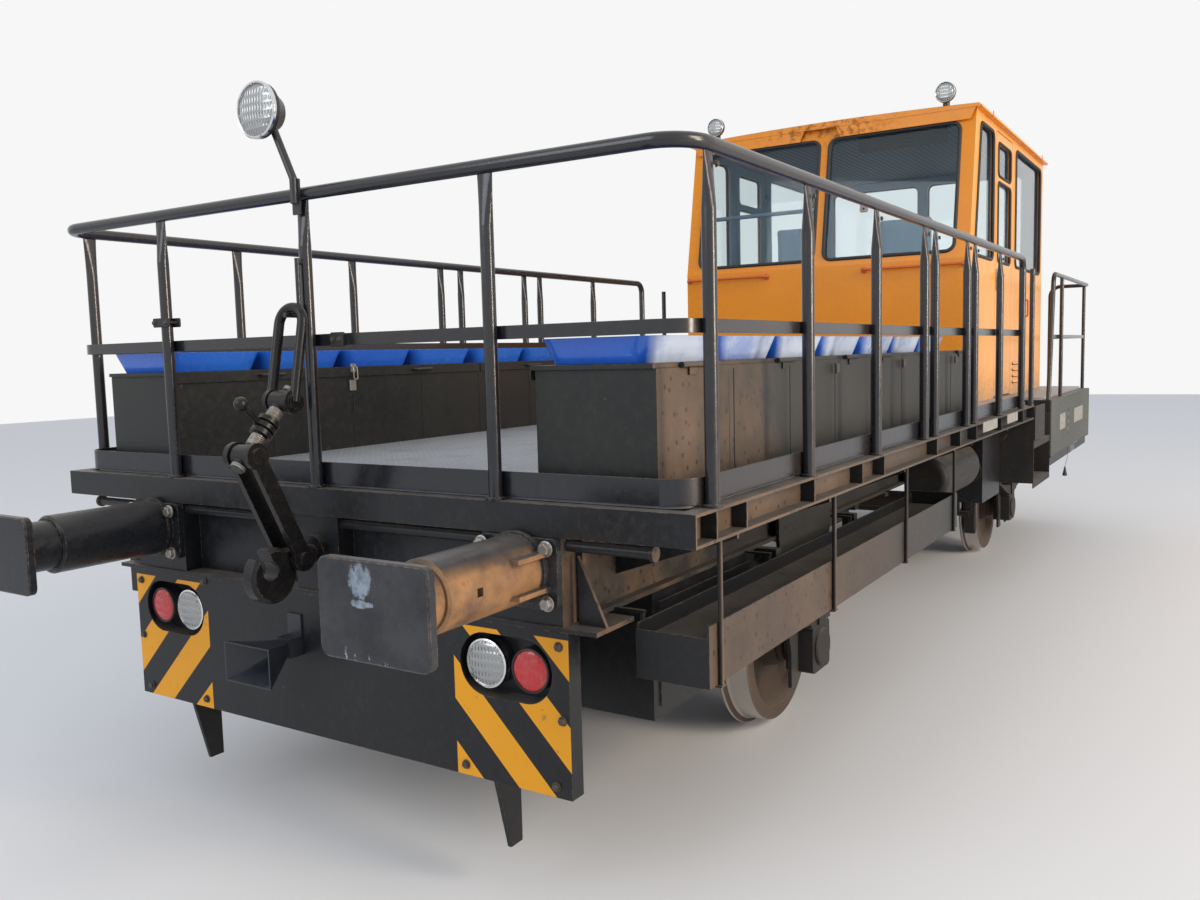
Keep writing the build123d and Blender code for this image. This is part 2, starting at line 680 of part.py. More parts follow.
def build_axle_guard():
    """Plate on the front right solebar with the slot that the axle box slides in."""
    x = at(AXLE_STATION)
    slot = BOX_WIDTH / 2 + BOX_SLOT_GAP
    foot = AXLE_Z - GUARD_DROP
    top = FRAME_TOP - SOLEBAR_LIP / 2
    slot_top = AXLE_Z + BOX_HEIGHT / 2 + SPRING_CAMBER
    y = -(FRAME_HALF_WIDTH + GUARD_PLATE / 2)
    outline = [
        (x - GUARD_SPREAD / 2, top), (x + GUARD_SPREAD / 2, top),
        (x + GUARD_SPREAD / 2, FRAME_BOTTOM), (x + slot + GUARD_LEG, AXLE_Z), (x + slot + GUARD_LEG, foot),
        (x + slot, foot), (x + slot, slot_top), (x - slot, slot_top), (x - slot, foot),
        (x - slot - GUARD_LEG, foot), (x - slot - GUARD_LEG, AXLE_Z), (x - GUARD_SPREAD / 2, FRAME_BOTTOM),
    ]
    plate = side_plate(outline, y, GUARD_PLATE)
    hangers = []
    for end in (-1, 1):
        hx = x + end * SPRING_HALF_SPAN
        eye_z = spring_eye_height() + SPRING_SHACKLE
        hangers.append(block(hx - SPRING_EYE_RADIUS, hx + SPRING_EYE_RADIUS,
                             -(SPRING_Y + SPRING_WIDTH / 2), -FRAME_HALF_WIDTH + SOLEBAR_FLANGE,
                             FRAME_BOTTOM - SPRING_EYE_RADIUS, FRAME_BOTTOM))
        hangers.append(block(hx - SPRING_EYE_RADIUS, hx + SPRING_EYE_RADIUS,
                             -(SPRING_Y + SPRING_WIDTH / 2), -(SPRING_Y - SPRING_WIDTH / 2),
                             eye_z, FRAME_BOTTOM - SPRING_EYE_RADIUS))
    return fuse([plate] + hangers)


def spring_eye_height():
    """Height of the longest leaf's ends."""
    return AXLE_Z + BOX_HEIGHT / 2 + SPRING_LEAF * SPRING_LEAVES + SPRING_CAMBER


def build_main_frame():
    """Solebars, centre beams, cross beams, both end frames and the axle guards, welded as one."""
    z0, z1 = FRAME_BOTTOM, FRAME_TOP
    near = at(HEADSTOCK_SET_BACK)
    pieces = []
    for side in (-1, 1):
        pieces.append(i_section(near, -near, side * (FRAME_HALF_WIDTH - SOLEBAR_FLANGE / 2), z0, z1,
                                SOLEBAR_FLANGE, SOLEBAR_WEB, SOLEBAR_LIP))
        pieces.append(i_section(near, -near, side * CENTRE_BEAM_Y, z1 - CROSS_BEAM_DEPTH, z1,
                                CENTRE_BEAM_FLANGE, SOLEBAR_WEB, SOLEBAR_LIP))
    for station in CROSS_BEAM_STATIONS:
        pieces.append(cross_beam(at(station), FRAME_HALF_WIDTH - SOLEBAR_FLANGE / 2, z1 - CROSS_BEAM_DEPTH, z1,
                                 CROSS_BEAM_WIDTH, SOLEBAR_WEB, SOLEBAR_LIP))
    for end in (1, -1):
        pieces.append(end_frame(end))
    guard = build_axle_guard()
    pieces += four_corners(guard)
    return [fuse(pieces)]


def build_outriggers():
    """Brackets outside the solebars that carry the deck edge."""
    notch = DECK_HALF_WIDTH - EDGE_FLANGE - EDGE_WEB - SEAT_GAP
    tip = DECK_HALF_WIDTH - OUTRIGGER_END_INSET
    web = FRAME_HALF_WIDTH - SOLEBAR_FLANGE / 2 + SOLEBAR_WEB / 2
    guard_face = FRAME_HALF_WIDTH + GUARD_PLATE
    flanges = i_section(at(0), -at(0), -(FRAME_HALF_WIDTH - SOLEBAR_FLANGE / 2), FRAME_BOTTOM, FRAME_TOP,
                        SOLEBAR_FLANGE, SOLEBAR_WEB, SOLEBAR_LIP)
    brackets = []
    for station in OUTRIGGER_STATIONS:
        to_axle = min(abs(station - AXLE_STATION), abs(station - FAR_AXLE))
        root = guard_face if to_axle < GUARD_SPREAD / 2 + OUTRIGGER_THICKNESS else web
        bracket = cross_plate([(-root, FRAME_TOP), (-notch, FRAME_TOP), (-notch, EDGE_BOTTOM), (-tip, EDGE_BOTTOM),
                               (-tip, EDGE_BOTTOM - OUTRIGGER_TIP_DEPTH),
                               (-root, FRAME_TOP - OUTRIGGER_ROOT_DEPTH)], at(station), OUTRIGGER_THICKNESS)
        bracket -= flanges
        brackets += [bracket, other_side(bracket)]
    return brackets


def end_frame(end):
    """Headstock, buffer pads, shelf and gussets at the open end, or turned for the cab end."""
    z0, z1 = FRAME_BOTTOM, EDGE_BOTTOM
    near = at(HEADSTOCK_SET_BACK)
    face = at(BUFFER_PAD_FRONT)
    parts = [block(near - HEADSTOCK_PLATE, near, -FRAME_HALF_WIDTH, FRAME_HALF_WIDTH, z0, FRAME_TOP)]
    parts.append(block(at(0), at(SHELF_DEPTH), -SHELF_HALF_WIDTH, SHELF_HALF_WIDTH,
                       z0 - SHELF_THICKNESS, z0))
    half = BUFFER_BASE_WIDTH / 2
    for side in (-1, 1):
        y = side * BUFFER_Y
        parts.append(block(face, near - HEADSTOCK_PLATE, y - half, y + half, z0, z1))
        edge = side * FRAME_HALF_WIDTH
        gusset = cross_plate([(edge, z1 - GUSSET_TOP_DROP), (side * SHELF_HALF_WIDTH, z0), (edge, z0)],
                             at(GUSSET_STATION), GUSSET_THICKNESS)
        parts.append(gusset)
    parts.append(block(face, near - HEADSTOCK_PLATE, -HOOK_PLATE / 2, HOOK_PLATE / 2, z0, z1))
    parts += end_bar()
    whole = fuse(parts) - rod((face - CUT, 0, HOOK_Z), (near + CUT, 0, HOOK_Z), HOOK_SHANK / 2 + SEAT_GAP)
    return whole if end > 0 else other_end(whole)


def end_bar():
    """Round bar across the end below the deck beam, with a collar at each end."""
    x, z = at(END_BAR_STATION), DECK_Z - END_BAR_DROP
    reach = DECK_HALF_WIDTH - END_BAR_INSET
    inner = reach - 2 * END_BAR_COLLAR
    collars = [rod((x, side * inner, z), (x, side * reach, z), END_BAR_RADIUS + END_BAR_COLLAR) for side in (-1, 1)]
    return [rod((x, -inner, z), (x, inner, z), END_BAR_RADIUS)] + collars


def build_deck_edge():
    """Channels on edge round the deck, open outwards along the sides."""
    z0, z1 = EDGE_BOTTOM, DECK_Z
    outer = DECK_HALF_WIDTH
    inner = outer - EDGE_FLANGE
    pieces = []
    runs = ((0.0, STEP_START), (STEP_END, DECK_LENGTH))
    for start, stop in runs:
        for low, high in ((z0, z0 + EDGE_LIP), (z1 - EDGE_LIP, z1)):
            pieces.append(block(at(start), at(stop), -outer, -inner, low, high))
        pieces.append(block(at(start), at(stop), -inner, -inner + EDGE_WEB, z0, z1))
    for share in STIFFENER_SHARES:
        station = STEP_START * share
        pieces.append(block(at(station) - EDGE_WEB / 2, at(station) + EDGE_WEB / 2, -outer, -inner, z0, z1))
    for station in (STEP_START, STEP_END):
        toward = EDGE_WEB if station == STEP_START else -EDGE_WEB
        low, high = sorted((at(station) - toward, at(station)))
        pieces.append(block(low, high, -outer, -STEP_INNER_Y, z0, z1))
    pieces.append(block(at(STEP_START), at(STEP_END), -STEP_INNER_Y - EDGE_WEB, -STEP_INNER_Y, z0, z1))
    pieces += [other_side(piece) for piece in pieces]
    for side in (-1, 1):
        x0 = side * DECK_LENGTH / 2
        x1 = x0 - side * EDGE_WEB
        x2 = x0 - side * EDGE_FLANGE
        pieces.append(block(min(x0, x1), max(x0, x1), -outer, outer, z0, z1))
        for low, high in ((z0, z0 + EDGE_LIP), (z1 - EDGE_LIP, z1)):
            pieces.append(block(min(x0, x2), max(x0, x2), -outer, outer, low, high))
    return [fuse(pieces)]


def build_floor():
    """Deck boards under checker plate, notched at the entry steps."""
    edge = DECK_HALF_WIDTH - FLOOR_INSET
    floor = block(at(FLOOR_EDGE_STEP), -at(FLOOR_EDGE_STEP), -edge, edge, DECK_Z, FLOOR_TOP)
    floor = fillet(floor.edges().filter_by(Axis.Z), FLOOR_CORNER)
    for side in (-1, 1):
        low, high = sorted((side * STEP_INNER_Y, side * (edge + CUT)))
        floor -= block(at(STEP_START), at(STEP_END), low, high, DECK_Z - CUT, FLOOR_TOP + CUT)
    return [floor]


def build_end_skirt():
    """Plate under the open end's headstock with two lamp slots and troughs behind them."""
    x0 = at(0)
    skirt = block(x0, x0 + SKIRT_THICKNESS, -SKIRT_HALF_WIDTH, SKIRT_HALF_WIDTH, SKIRT_BOTTOM, SKIRT_TOP)
    pieces = [skirt]
    for side in (-1, 1):
        low, high = sorted((side * SKIRT_HALF_WIDTH, side * (SKIRT_HALF_WIDTH - SKIRT_THICKNESS)))
        pieces.append(block(x0, x0 + SKIRT_RETURN, low, high, SKIRT_BOTTOM, SKIRT_TOP))
        rib_y = side * SKIRT_RIB_Y
        pieces.append(block(x0, x0 + SHELF_DEPTH, rib_y - SKIRT_THICKNESS / 2, rib_y + SKIRT_THICKNESS / 2,
                            SKIRT_BOTTOM + SKIRT_RETURN, SKIRT_TOP))
    whole = fuse(pieces)
    for side in (-1, 1):
        place = Plane(origin=(x0, side * LAMP_SLOT_Y, LAMP_SLOT_Z), x_dir=(0, 1, 0), z_dir=(1, 0, 0))
        slot = SlotOverall(LAMP_SLOT_LENGTH, LAMP_SLOT_HEIGHT)
        outer = SlotOverall(LAMP_SLOT_LENGTH + 2 * LAMP_TROUGH_WALL, LAMP_SLOT_HEIGHT + 2 * LAMP_TROUGH_WALL)
        whole += place * extrude(outer, LAMP_TROUGH_DEPTH + LAMP_TROUGH_WALL)
        whole -= place * extrude(slot, LAMP_TROUGH_DEPTH)
    for side in (-1, 1):
        bar_x = at(RAIL_GUARD_STATION)
        foot = RAIL_TOP + RAIL_GUARD_CLEARANCE
        y = side * RAIL_GUARD_Y
        top = FRAME_BOTTOM - SHELF_THICKNESS
        outline = [(x0 + SKIRT_THICKNESS, top), (x0 + SKIRT_THICKNESS + RAIL_GUARD_WIDTH, top),
                   (bar_x + RAIL_GUARD_WIDTH, SKIRT_BOTTOM), (bar_x + RAIL_GUARD_WIDTH, foot),
                   (bar_x, foot), (x0 + SKIRT_THICKNESS, SKIRT_BOTTOM)]
        bar = side_plate(outline, y, RAIL_GUARD_THICKNESS)
        place = Plane(origin=(x0, side * LAMP_SLOT_Y, LAMP_SLOT_Z), x_dir=(0, 1, 0), z_dir=(1, 0, 0))
        bar -= place * extrude(SlotOverall(LAMP_SLOT_LENGTH, LAMP_SLOT_HEIGHT), LAMP_TROUGH_DEPTH)
        whole += bar
    return whole


def build_marker_lamps():
    """White and red round lamps standing in the troughs."""
    lamps = []
    back = at(LAMP_TROUGH_DEPTH)
    for y, radius in ((WHITE_LAMP_Y, WHITE_LAMP_RADIUS), (RED_LAMP_Y, RED_LAMP_RADIUS)):
        body = rod((back, -y, LAMP_SLOT_Z), (back - LAMP_BODY_DEPTH, -y, LAMP_SLOT_Z), radius)
        lens = fillet(body.edges().group_by(Axis.X)[0], LAMP_LENS_EDGE)
        lamps += four_corners(lens)
    return lamps


def build_buffer():
    """One complete buffer at the open end's right side."""
    face_x = -LENGTH_OVER_BUFFERS / 2
    pad_x = at(BUFFER_PAD_FRONT) - SEAT_GAP
    y = -BUFFER_Y
    z = RAIL_TOP + BUFFER_HEIGHT
    plane = Plane(origin=(face_x, y, z), x_dir=(0, 1, 0), z_dir=(1, 0, 0))
    outline = fillet(Rectangle(BUFFER_FACE_WIDTH, BUFFER_FACE_HEIGHT).vertices(), BUFFER_FACE_CORNER)
    plate = plane * extrude(outline, BUFFER_FACE_THICKNESS)
    plate = chamfer(plate.edges().group_by(Axis.X)[0], BUFFER_FACE_CHAMFER)
    base_x = pad_x - BUFFER_BASE_THICKNESS
    plunger = rod((face_x + BUFFER_FACE_THICKNESS / 2, y, z), (base_x, y, z), PLUNGER_RADIUS)
    sleeve = rod((base_x - SLEEVE_LENGTH, y, z), (base_x, y, z), SLEEVE_RADIUS)
    sleeve = chamfer(sleeve.edges().group_by(Axis.X)[0], SLEEVE_EDGE)
    collar = rod((base_x - SLEEVE_COLLAR, y, z), (base_x, y, z), SLEEVE_RADIUS + SLEEVE_COLLAR / 2)
    base = block(base_x, pad_x, y - BUFFER_BASE_WIDTH / 2, y + BUFFER_BASE_WIDTH / 2,
                 z - BUFFER_BASE_DROP - BUFFER_BASE_HEIGHT / 2, z - BUFFER_BASE_DROP + BUFFER_BASE_HEIGHT / 2)
    base = fillet(base.edges().filter_by(Axis.X), BUFFER_FACE_CORNER)
    cone = plane.offset(BUFFER_FACE_THICKNESS / 2) * Cone(PLUNGER_RADIUS + SLEEVE_COLLAR, PLUNGER_RADIUS,
                                                          BUFFER_NECK,
                                                          align=(Align.CENTER, Align.CENTER, Align.MIN))
    ribs = [block(base_x - SLEEVE_RIB_LENGTH, base_x, y - SLEEVE_RADIUS - SLEEVE_COLLAR, y,
                  z + rise - SLEEVE_RIB_THICKNESS / 2, z + rise + SLEEVE_RIB_THICKNESS / 2)
            for rise in (-SLEEVE_RIB_Z, SLEEVE_RIB_Z)]
    slot_x = base_x - SLEEVE_LENGTH + SLEEVE_SLOT_SET_BACK
    slot = block(slot_x, slot_x + SLEEVE_SLOT, y - SLEEVE_RADIUS - CUT, y - SLEEVE_RADIUS + SLEEVE_SLOT_DEPTH,
                 z - SLEEVE_SLOT / 2, z + SLEEVE_SLOT / 2)
    return fuse([plate, cone, plunger, sleeve, collar, base] + ribs) - slot


def build_hook():
    """Draw hook with its shank and washer at the open end."""
    head_x = at(HOOK_HEAD_STATION)
    head_z = HOOK_Z - HOOK_HEAD_DROP
    pin_x = at(HOOK_PIN_STATION)
    near = at(HEADSTOCK_SET_BACK)
    plane = Plane(origin=(0, HOOK_THICKNESS / 2, 0), x_dir=(1, 0, 0), z_dir=(0, -1, 0))
    head = Pos(head_x, head_z) * Circle(HOOK_HEAD_RADIUS)
    neck = Pos((pin_x + head_x) / 2, HOOK_Z) * Rectangle(pin_x - head_x + HOOK_SHANK, HOOK_SHANK)
    mouth = Pos(head_x - HOOK_MOUTH_SHIFT, head_z + HOOK_MOUTH_SHIFT) * Circle(HOOK_MOUTH_RADIUS)
    throat = (Pos(head_x - HOOK_MOUTH_SHIFT, head_z + HOOK_MOUTH_SHIFT) * Rot(0, 0, HOOK_THROAT_ANGLE)
              * Pos(HOOK_HEAD_RADIUS, 0) * Rectangle(2 * HOOK_HEAD_RADIUS, 2 * HOOK_MOUTH_RADIUS - HOOK_LIP))
    outline = head + neck - mouth - throat
    hook = plane * extrude(outline, HOOK_THICKNESS)
    round_edges = [edge for edge in hook.edges().filter_by(GeomType.CIRCLE) if edge.radius == HOOK_HEAD_RADIUS]
    hook = chamfer(round_edges, HOOK_EDGE)
    hook -= rod((pin_x, -HOOK_THICKNESS, HOOK_Z), (pin_x, HOOK_THICKNESS, HOOK_Z), HOOK_PIN_RADIUS + SEAT_GAP)
    face = at(BUFFER_PAD_FRONT) - SEAT_GAP
    shank = rod((pin_x + HOOK_SHANK / 2, 0, HOOK_Z), (near + HOOK_TAIL, 0, HOOK_Z), HOOK_SHANK / 2)
    neck_block = block(pin_x, pin_x + HOOK_SHANK / 2 + CUT, -HOOK_THICKNESS / 2, HOOK_THICKNESS / 2,
                       HOOK_Z - HOOK_SHANK / 2, HOOK_Z + HOOK_SHANK / 2)
    neck_block -= rod((pin_x, -HOOK_THICKNESS, HOOK_Z), (pin_x, HOOK_THICKNESS, HOOK_Z),
                      HOOK_PIN_RADIUS + SEAT_GAP)
    washer = rod((face - HOOK_WASHER, 0, HOOK_Z), (face, 0, HOOK_Z), HOOK_SHANK)
    nut = rod((near + SEAT_GAP, 0, HOOK_Z), (near + HOOK_TAIL, 0, HOOK_Z), HOOK_NUT_RADIUS)
    return fuse([hook, neck_block, shank, washer, nut])


def across_rod(spot, half, radius):
    """Round bar along Y through a (x, z) spot, as long on both sides of the middle."""
    return rod((spot[0], -half, spot[1]), (spot[0], half, spot[1]), radius)


def build_coupling():
    """Screw coupling held up: links, two trunnions, screw with its lever, and the bow."""
    pin = (at(HOOK_PIN_STATION), HOOK_Z)
    low = (at(LINK_TOP[0]), DECK_Z + LINK_TOP[1])
    high = (at(SCREW_TOP[0]), DECK_Z + SCREW_TOP[1])
    top = (at(BOW_TOP[0]), DECK_Z + BOW_TOP[1])
    pieces = [across_rod(pin, TRUNNION_HALF, HOOK_PIN_RADIUS)]
    angle = math.degrees(math.atan2(low[1] - pin[1], low[0] - pin[0]))
    for side in (-1, 1):
        plane = Plane(origin=(0, side * COUPLING_HALF_GAP + LINK_THICKNESS / 2, 0), x_dir=(1, 0, 0), z_dir=(0, -1, 0))
        bar = Pos((pin[0] + low[0]) / 2, (pin[1] + low[1]) / 2) * Rot(0, 0, angle) * Rectangle(
            math.dist(pin, low), LINK_WIDTH)
        eyes = [Pos(*end) * Circle(LINK_EYE_RADIUS) for end in (pin, low)]
        pieces.append(plane * extrude(bar + eyes[0] + eyes[1], LINK_THICKNESS))
        pieces.append(rod((high[0], side * BOW_HALF_WIDTH, high[1]),
                          (high[0], side * (BOW_HALF_WIDTH - BOW_RADIUS), high[1]), BOW_EYE_RADIUS))
    for spot in (low, high):
        pieces.append(across_rod(spot, TRUNNION_HALF, TRUNNION_RADIUS))
        pieces.append(across_rod(spot, NUT_HALF, NUT_RADIUS))
    first, last = Vector(low[0], 0, low[1]), Vector(high[0], 0, high[1])
    lean = (last - first).normalized()
    middle = (first + last) * 0.5
    pieces.append(rod(tuple(first - lean * SCREW_TAIL), tuple(last + lean * SCREW_TAIL), SCREW_RADIUS))
    for step in LEVER_COLLARS:
        place = middle + lean * step
        pieces.append(rod(tuple(place - lean * LEVER_COLLAR_HALF), tuple(place + lean * LEVER_COLLAR_HALF),
                          LEVER_COLLAR_RADIUS))
    lever_end = middle + Vector(-lean.Z, 0, lean.X) * LEVER_LENGTH
    pieces.append(rod(tuple(middle), tuple(lever_end), LEVER_RADIUS))
    pieces.append(Pos(*lever_end) * Sphere(LEVER_KNOB_RADIUS))
    legs = [(high[0], -BOW_HALF_WIDTH, high[1]), (top[0], -BOW_HALF_WIDTH, top[1]),
            (top[0], BOW_HALF_WIDTH, top[1]), (high[0], BOW_HALF_WIDTH, high[1])]
    pieces.append(bent_tube(legs, BOW_RADIUS, BOW_BEND))
    return fuse(pieces)


def build_wheelset(station):
    """Axle with both flanged wheels, turned as one."""
    profile = [
        (0, JOURNAL_END), (JOURNAL_RADIUS, JOURNAL_END), (JOURNAL_RADIUS, WHEEL_SEAT_END),
        (AXLE_RADIUS + AXLE_SEAT_STEP, WHEEL_SEAT_END), (AXLE_RADIUS + AXLE_SEAT_STEP, HUB_OUTER),
        (WHEEL_HUB_RADIUS, HUB_OUTER), (WHEEL_HUB_RADIUS + WEB_ROOT, WEB_HUB_Y + WHEEL_WEB),
        (RIM_INNER_RADIUS - WEB_ROOT, WEB_RIM_Y + WHEEL_WEB), (RIM_INNER_RADIUS, WHEEL_BACK + WHEEL_RIM_WIDTH),
        (WHEEL_RADIUS - TREAD_TAPER - RIM_EDGE, WHEEL_BACK + WHEEL_RIM_WIDTH),
        (WHEEL_RADIUS - TREAD_TAPER, WHEEL_BACK + WHEEL_RIM_WIDTH - RIM_EDGE),
        (WHEEL_RADIUS, WHEEL_BACK + FLANGE_THICKNESS + FLANGE_ROOT),
        (WHEEL_RADIUS + FLANGE_ROOT / 2, WHEEL_BACK + FLANGE_THICKNESS),
        (WHEEL_RADIUS + FLANGE_DEPTH - RIM_EDGE / 2, WHEEL_BACK + FLANGE_THICKNESS * FLANGE_FACE_SHARE),
        (WHEEL_RADIUS + FLANGE_DEPTH, WHEEL_BACK + FLANGE_THICKNESS * FLANGE_TIP_SHARE),
        (WHEEL_RADIUS + FLANGE_DEPTH - RIM_EDGE, WHEEL_BACK), (RIM_INNER_RADIUS, WHEEL_BACK),
        (RIM_INNER_RADIUS - WEB_ROOT, WEB_RIM_Y), (WHEEL_HUB_RADIUS + WEB_ROOT, WEB_HUB_Y),
        (WHEEL_HUB_RADIUS, HUB_INNER), (AXLE_RADIUS + AXLE_SEAT_STEP, HUB_INNER), (AXLE_RADIUS, AXLE_BODY_END),
        (AXLE_RADIUS, 0), (0, 0),
    ]
    plane = Plane(origin=(at(station), 0, AXLE_Z), x_dir=(1, 0, 0), z_dir=(0, 0, 1))
    half = revolve(plane * make_face(Polyline(*profile, close=True)),
                   Axis((at(station), 0, AXLE_Z), (0, 1, 0)), 360)
    return half + other_side(half)


def build_axle_box():
    """Axle box round the front right journal, closed by a round cap."""
    x = at(AXLE_STATION)
    box = block(x - BOX_WIDTH / 2, x + BOX_WIDTH / 2, -BOX_OUTER_Y, -BOX_INNER_Y,
                AXLE_Z - BOX_HEIGHT / 2, AXLE_Z + BOX_HEIGHT / 2)
    box = fillet(box.edges().filter_by(Axis.Y), BOX_CORNER)
    cap = rod((x, -BOX_OUTER_Y - BOX_CAP_DEPTH, AXLE_Z), (x, -BOX_OUTER_Y, AXLE_Z), BOX_CAP_RADIUS)
    cap = chamfer(cap.edges().group_by(Axis.Y)[0], BOX_CAP_DEPTH / 2)
    bore = rod((x, -JOURNAL_END - BOX_END_FLOAT, AXLE_Z), (x, -BOX_INNER_Y + CUT, AXLE_Z),
               JOURNAL_RADIUS + JOURNAL_GAP)
    return box + cap - bore


def build_leaf_spring():
    """Leaves bent up at their ends, held by a buckle on the axle box."""
    x = at(AXLE_STATION)
    base = AXLE_Z + BOX_HEIGHT / 2 + SEAT_GAP
    leaves = []
    for count in range(SPRING_LEAVES):
        share = SPRING_SHORT_SHARE + (1 - SPRING_SHORT_SHARE) * count / (SPRING_LEAVES - 1)
        half = SPRING_HALF_SPAN * share
        rise = SPRING_CAMBER * share * share
        low = base + SPRING_LEAF * count
        lower = ThreePointArc((x - half, low + rise), (x, low), (x + half, low + rise))
        upper = ThreePointArc((x + half, low + rise + SPRING_LEAF), (x, low + SPRING_LEAF),
                              (x - half, low + rise + SPRING_LEAF))
        ends = [Line((x + half, low + rise), (x + half, low + rise + SPRING_LEAF)),
                Line((x - half, low + rise + SPRING_LEAF), (x - half, low + rise))]
        face = make_face([lower, ends[0], upper, ends[1]])
        plane = Plane(origin=(0, -SPRING_Y + SPRING_WIDTH / 2, 0), x_dir=(1, 0, 0), z_dir=(0, -1, 0))
        leaves.append(plane * extrude(face, SPRING_WIDTH))
    stack = SPRING_LEAF * SPRING_LEAVES
    leaves.append(block(x - SPRING_BUCKLE / 2, x + SPRING_BUCKLE / 2, -SPRING_Y - SPRING_WIDTH / 2 - SPRING_WRAP,
                        -SPRING_Y + SPRING_WIDTH / 2 + SPRING_WRAP / 2, base, base + stack + SPRING_WRAP))
    for end in (-1, 1):
        eye = (x + end * SPRING_HALF_SPAN, spring_eye_height())
        leaves.append(rod((eye[0], -SPRING_Y - SPRING_WIDTH / 2, eye[1]),
                          (eye[0], -SPRING_Y + SPRING_WIDTH / 2, eye[1]), SPRING_EYE_RADIUS))
        leaves.append(block(eye[0] - SPRING_LINK / 2, eye[0] + SPRING_LINK / 2, -SPRING_Y - SPRING_WIDTH / 2,
                            -SPRING_Y + SPRING_WIDTH / 2, eye[1], eye[1] + SPRING_SHACKLE - SEAT_GAP))
    return fuse(leaves)


def on_wheel(x, radius, angle):
    """Point in the wheel's plane at an angle from level, for an axle at x; a negative radius points back."""
    return (x + radius * math.cos(angle), AXLE_Z + abs(radius) * math.sin(angle))


def build_brake(station, toward):
    """Two brake blocks on one side of a wheelset, with hangers and the beam that joins them."""
    x = at(station)
    parts = []
    inner = WHEEL_RADIUS + BRAKE_CLEARANCE
    outer = inner + BRAKE_BLOCK_THICKNESS
    half = math.radians(BRAKE_BLOCK_ANGLE / 2)
    for side in (-1, 1):
        y = side * (WHEEL_BACK + WHEEL_RIM_WIDTH - BRAKE_BLOCK_WIDTH / 2 - RIM_EDGE)
        near = [on_wheel(x, toward * inner, angle) for angle in (-half, 0, half)]
        far = [on_wheel(x, toward * outer, angle) for angle in (half, 0, -half)]
        face = make_face([ThreePointArc(*near), Line(near[-1], far[0]), ThreePointArc(*far), Line(far[-1], near[0])])
        plane = Plane(origin=(0, y + BRAKE_BLOCK_WIDTH / 2, 0), x_dir=(1, 0, 0), z_dir=(0, -1, 0))
        parts.append(plane * extrude(face, BRAKE_BLOCK_WIDTH))
        hang_x = x + toward * (outer + BRAKE_HANGER / 2 - BRAKE_HANGER_LAP)
        parts.append(block(hang_x - BRAKE_HANGER / 2, hang_x + BRAKE_HANGER / 2, y - BRAKE_HANGER, y + BRAKE_HANGER,
                           AXLE_Z - BRAKE_HANGER, FRAME_BOTTOM + SOLEBAR_LIP))
        foot = side * (FRAME_HALF_WIDTH - SOLEBAR_FLANGE - SEAT_GAP)
        low, high = sorted((y - side * BRAKE_HANGER, foot))
        parts.append(block(hang_x - BRAKE_HANGER / 2, hang_x + BRAKE_HANGER / 2, low, high,
                           FRAME_BOTTOM, FRAME_BOTTOM + SOLEBAR_LIP))
    beam_x = x + toward * (outer + BRAKE_HANGER)
    limit = WHEEL_BACK + WHEEL_RIM_WIDTH - BRAKE_BLOCK_WIDTH / 2
    parts.append(rod((beam_x, -limit, AXLE_Z - BRAKE_HANGER / 2), (beam_x, limit, AXLE_Z - BRAKE_HANGER / 2),
                     BRAKE_BEAM_RADIUS))
    return fuse(parts)


def build_trough():
    """Shallow tool trough under the right deck edge, and the rods that it hangs on."""
    x0, x1 = at(TROUGH_START), at(TROUGH_END)
    body = block(x0, x1, -TROUGH_OUTER_Y, -TROUGH_INNER_Y, TROUGH_BOTTOM, TROUGH_TOP + TROUGH_LIP)
    body -= block(x0 + TROUGH_WALL, x1 - TROUGH_WALL, -TROUGH_OUTER_Y + TROUGH_WALL,
                  -TROUGH_INNER_Y - TROUGH_WALL, TROUGH_TOP - TROUGH_LIP, TROUGH_TOP + TROUGH_LIP + CUT)
    body -= block(x0 - CUT, x0 + TROUGH_WALL + CUT, -TROUGH_OUTER_Y + TROUGH_WALL, -TROUGH_INNER_Y + CUT,
                  TROUGH_TOP, TROUGH_TOP + TROUGH_LIP + CUT)
    body -= block(x0 + TROUGH_WALL, x1 - TROUGH_WALL, -TROUGH_OUTER_Y + TROUGH_WALL, -TROUGH_INNER_Y + CUT,
                  TROUGH_TOP + TROUGH_LIP / 2, TROUGH_TOP + TROUGH_LIP + CUT)
    parts = [body]
    rods = []
    outer_y = -TROUGH_OUTER_Y - HANGER_RADIUS - SEAT_GAP
    inner_y = -TROUGH_INNER_Y + HANGER_RADIUS + SEAT_GAP
    for share in HANGER_SHARES:
        x = x0 + (x1 - x0) * share
        parts.append(block(x - STRAP_WIDTH / 2, x + STRAP_WIDTH / 2, outer_y - HANGER_RADIUS,
                           inner_y + HANGER_RADIUS, TROUGH_BOTTOM - TROUGH_WALL, TROUGH_BOTTOM))
        rods.append(rod((x, outer_y, TROUGH_BOTTOM + SEAT_GAP), (x, outer_y, EDGE_BOTTOM - SEAT_GAP),
                        HANGER_RADIUS))
        stem = rod((x, inner_y, TROUGH_BOTTOM + SEAT_GAP), (x, inner_y, FRAME_BOTTOM + HANGER_RADIUS),
                   HANGER_RADIUS)
        tab = block(x - HANGER_RADIUS, x + HANGER_RADIUS, inner_y - HANGER_RADIUS,
                    -FRAME_HALF_WIDTH - SEAT_GAP, FRAME_BOTTOM, FRAME_BOTTOM + HANGER_RADIUS)
        rods.append(stem + tab)
    return fuse(parts), rods


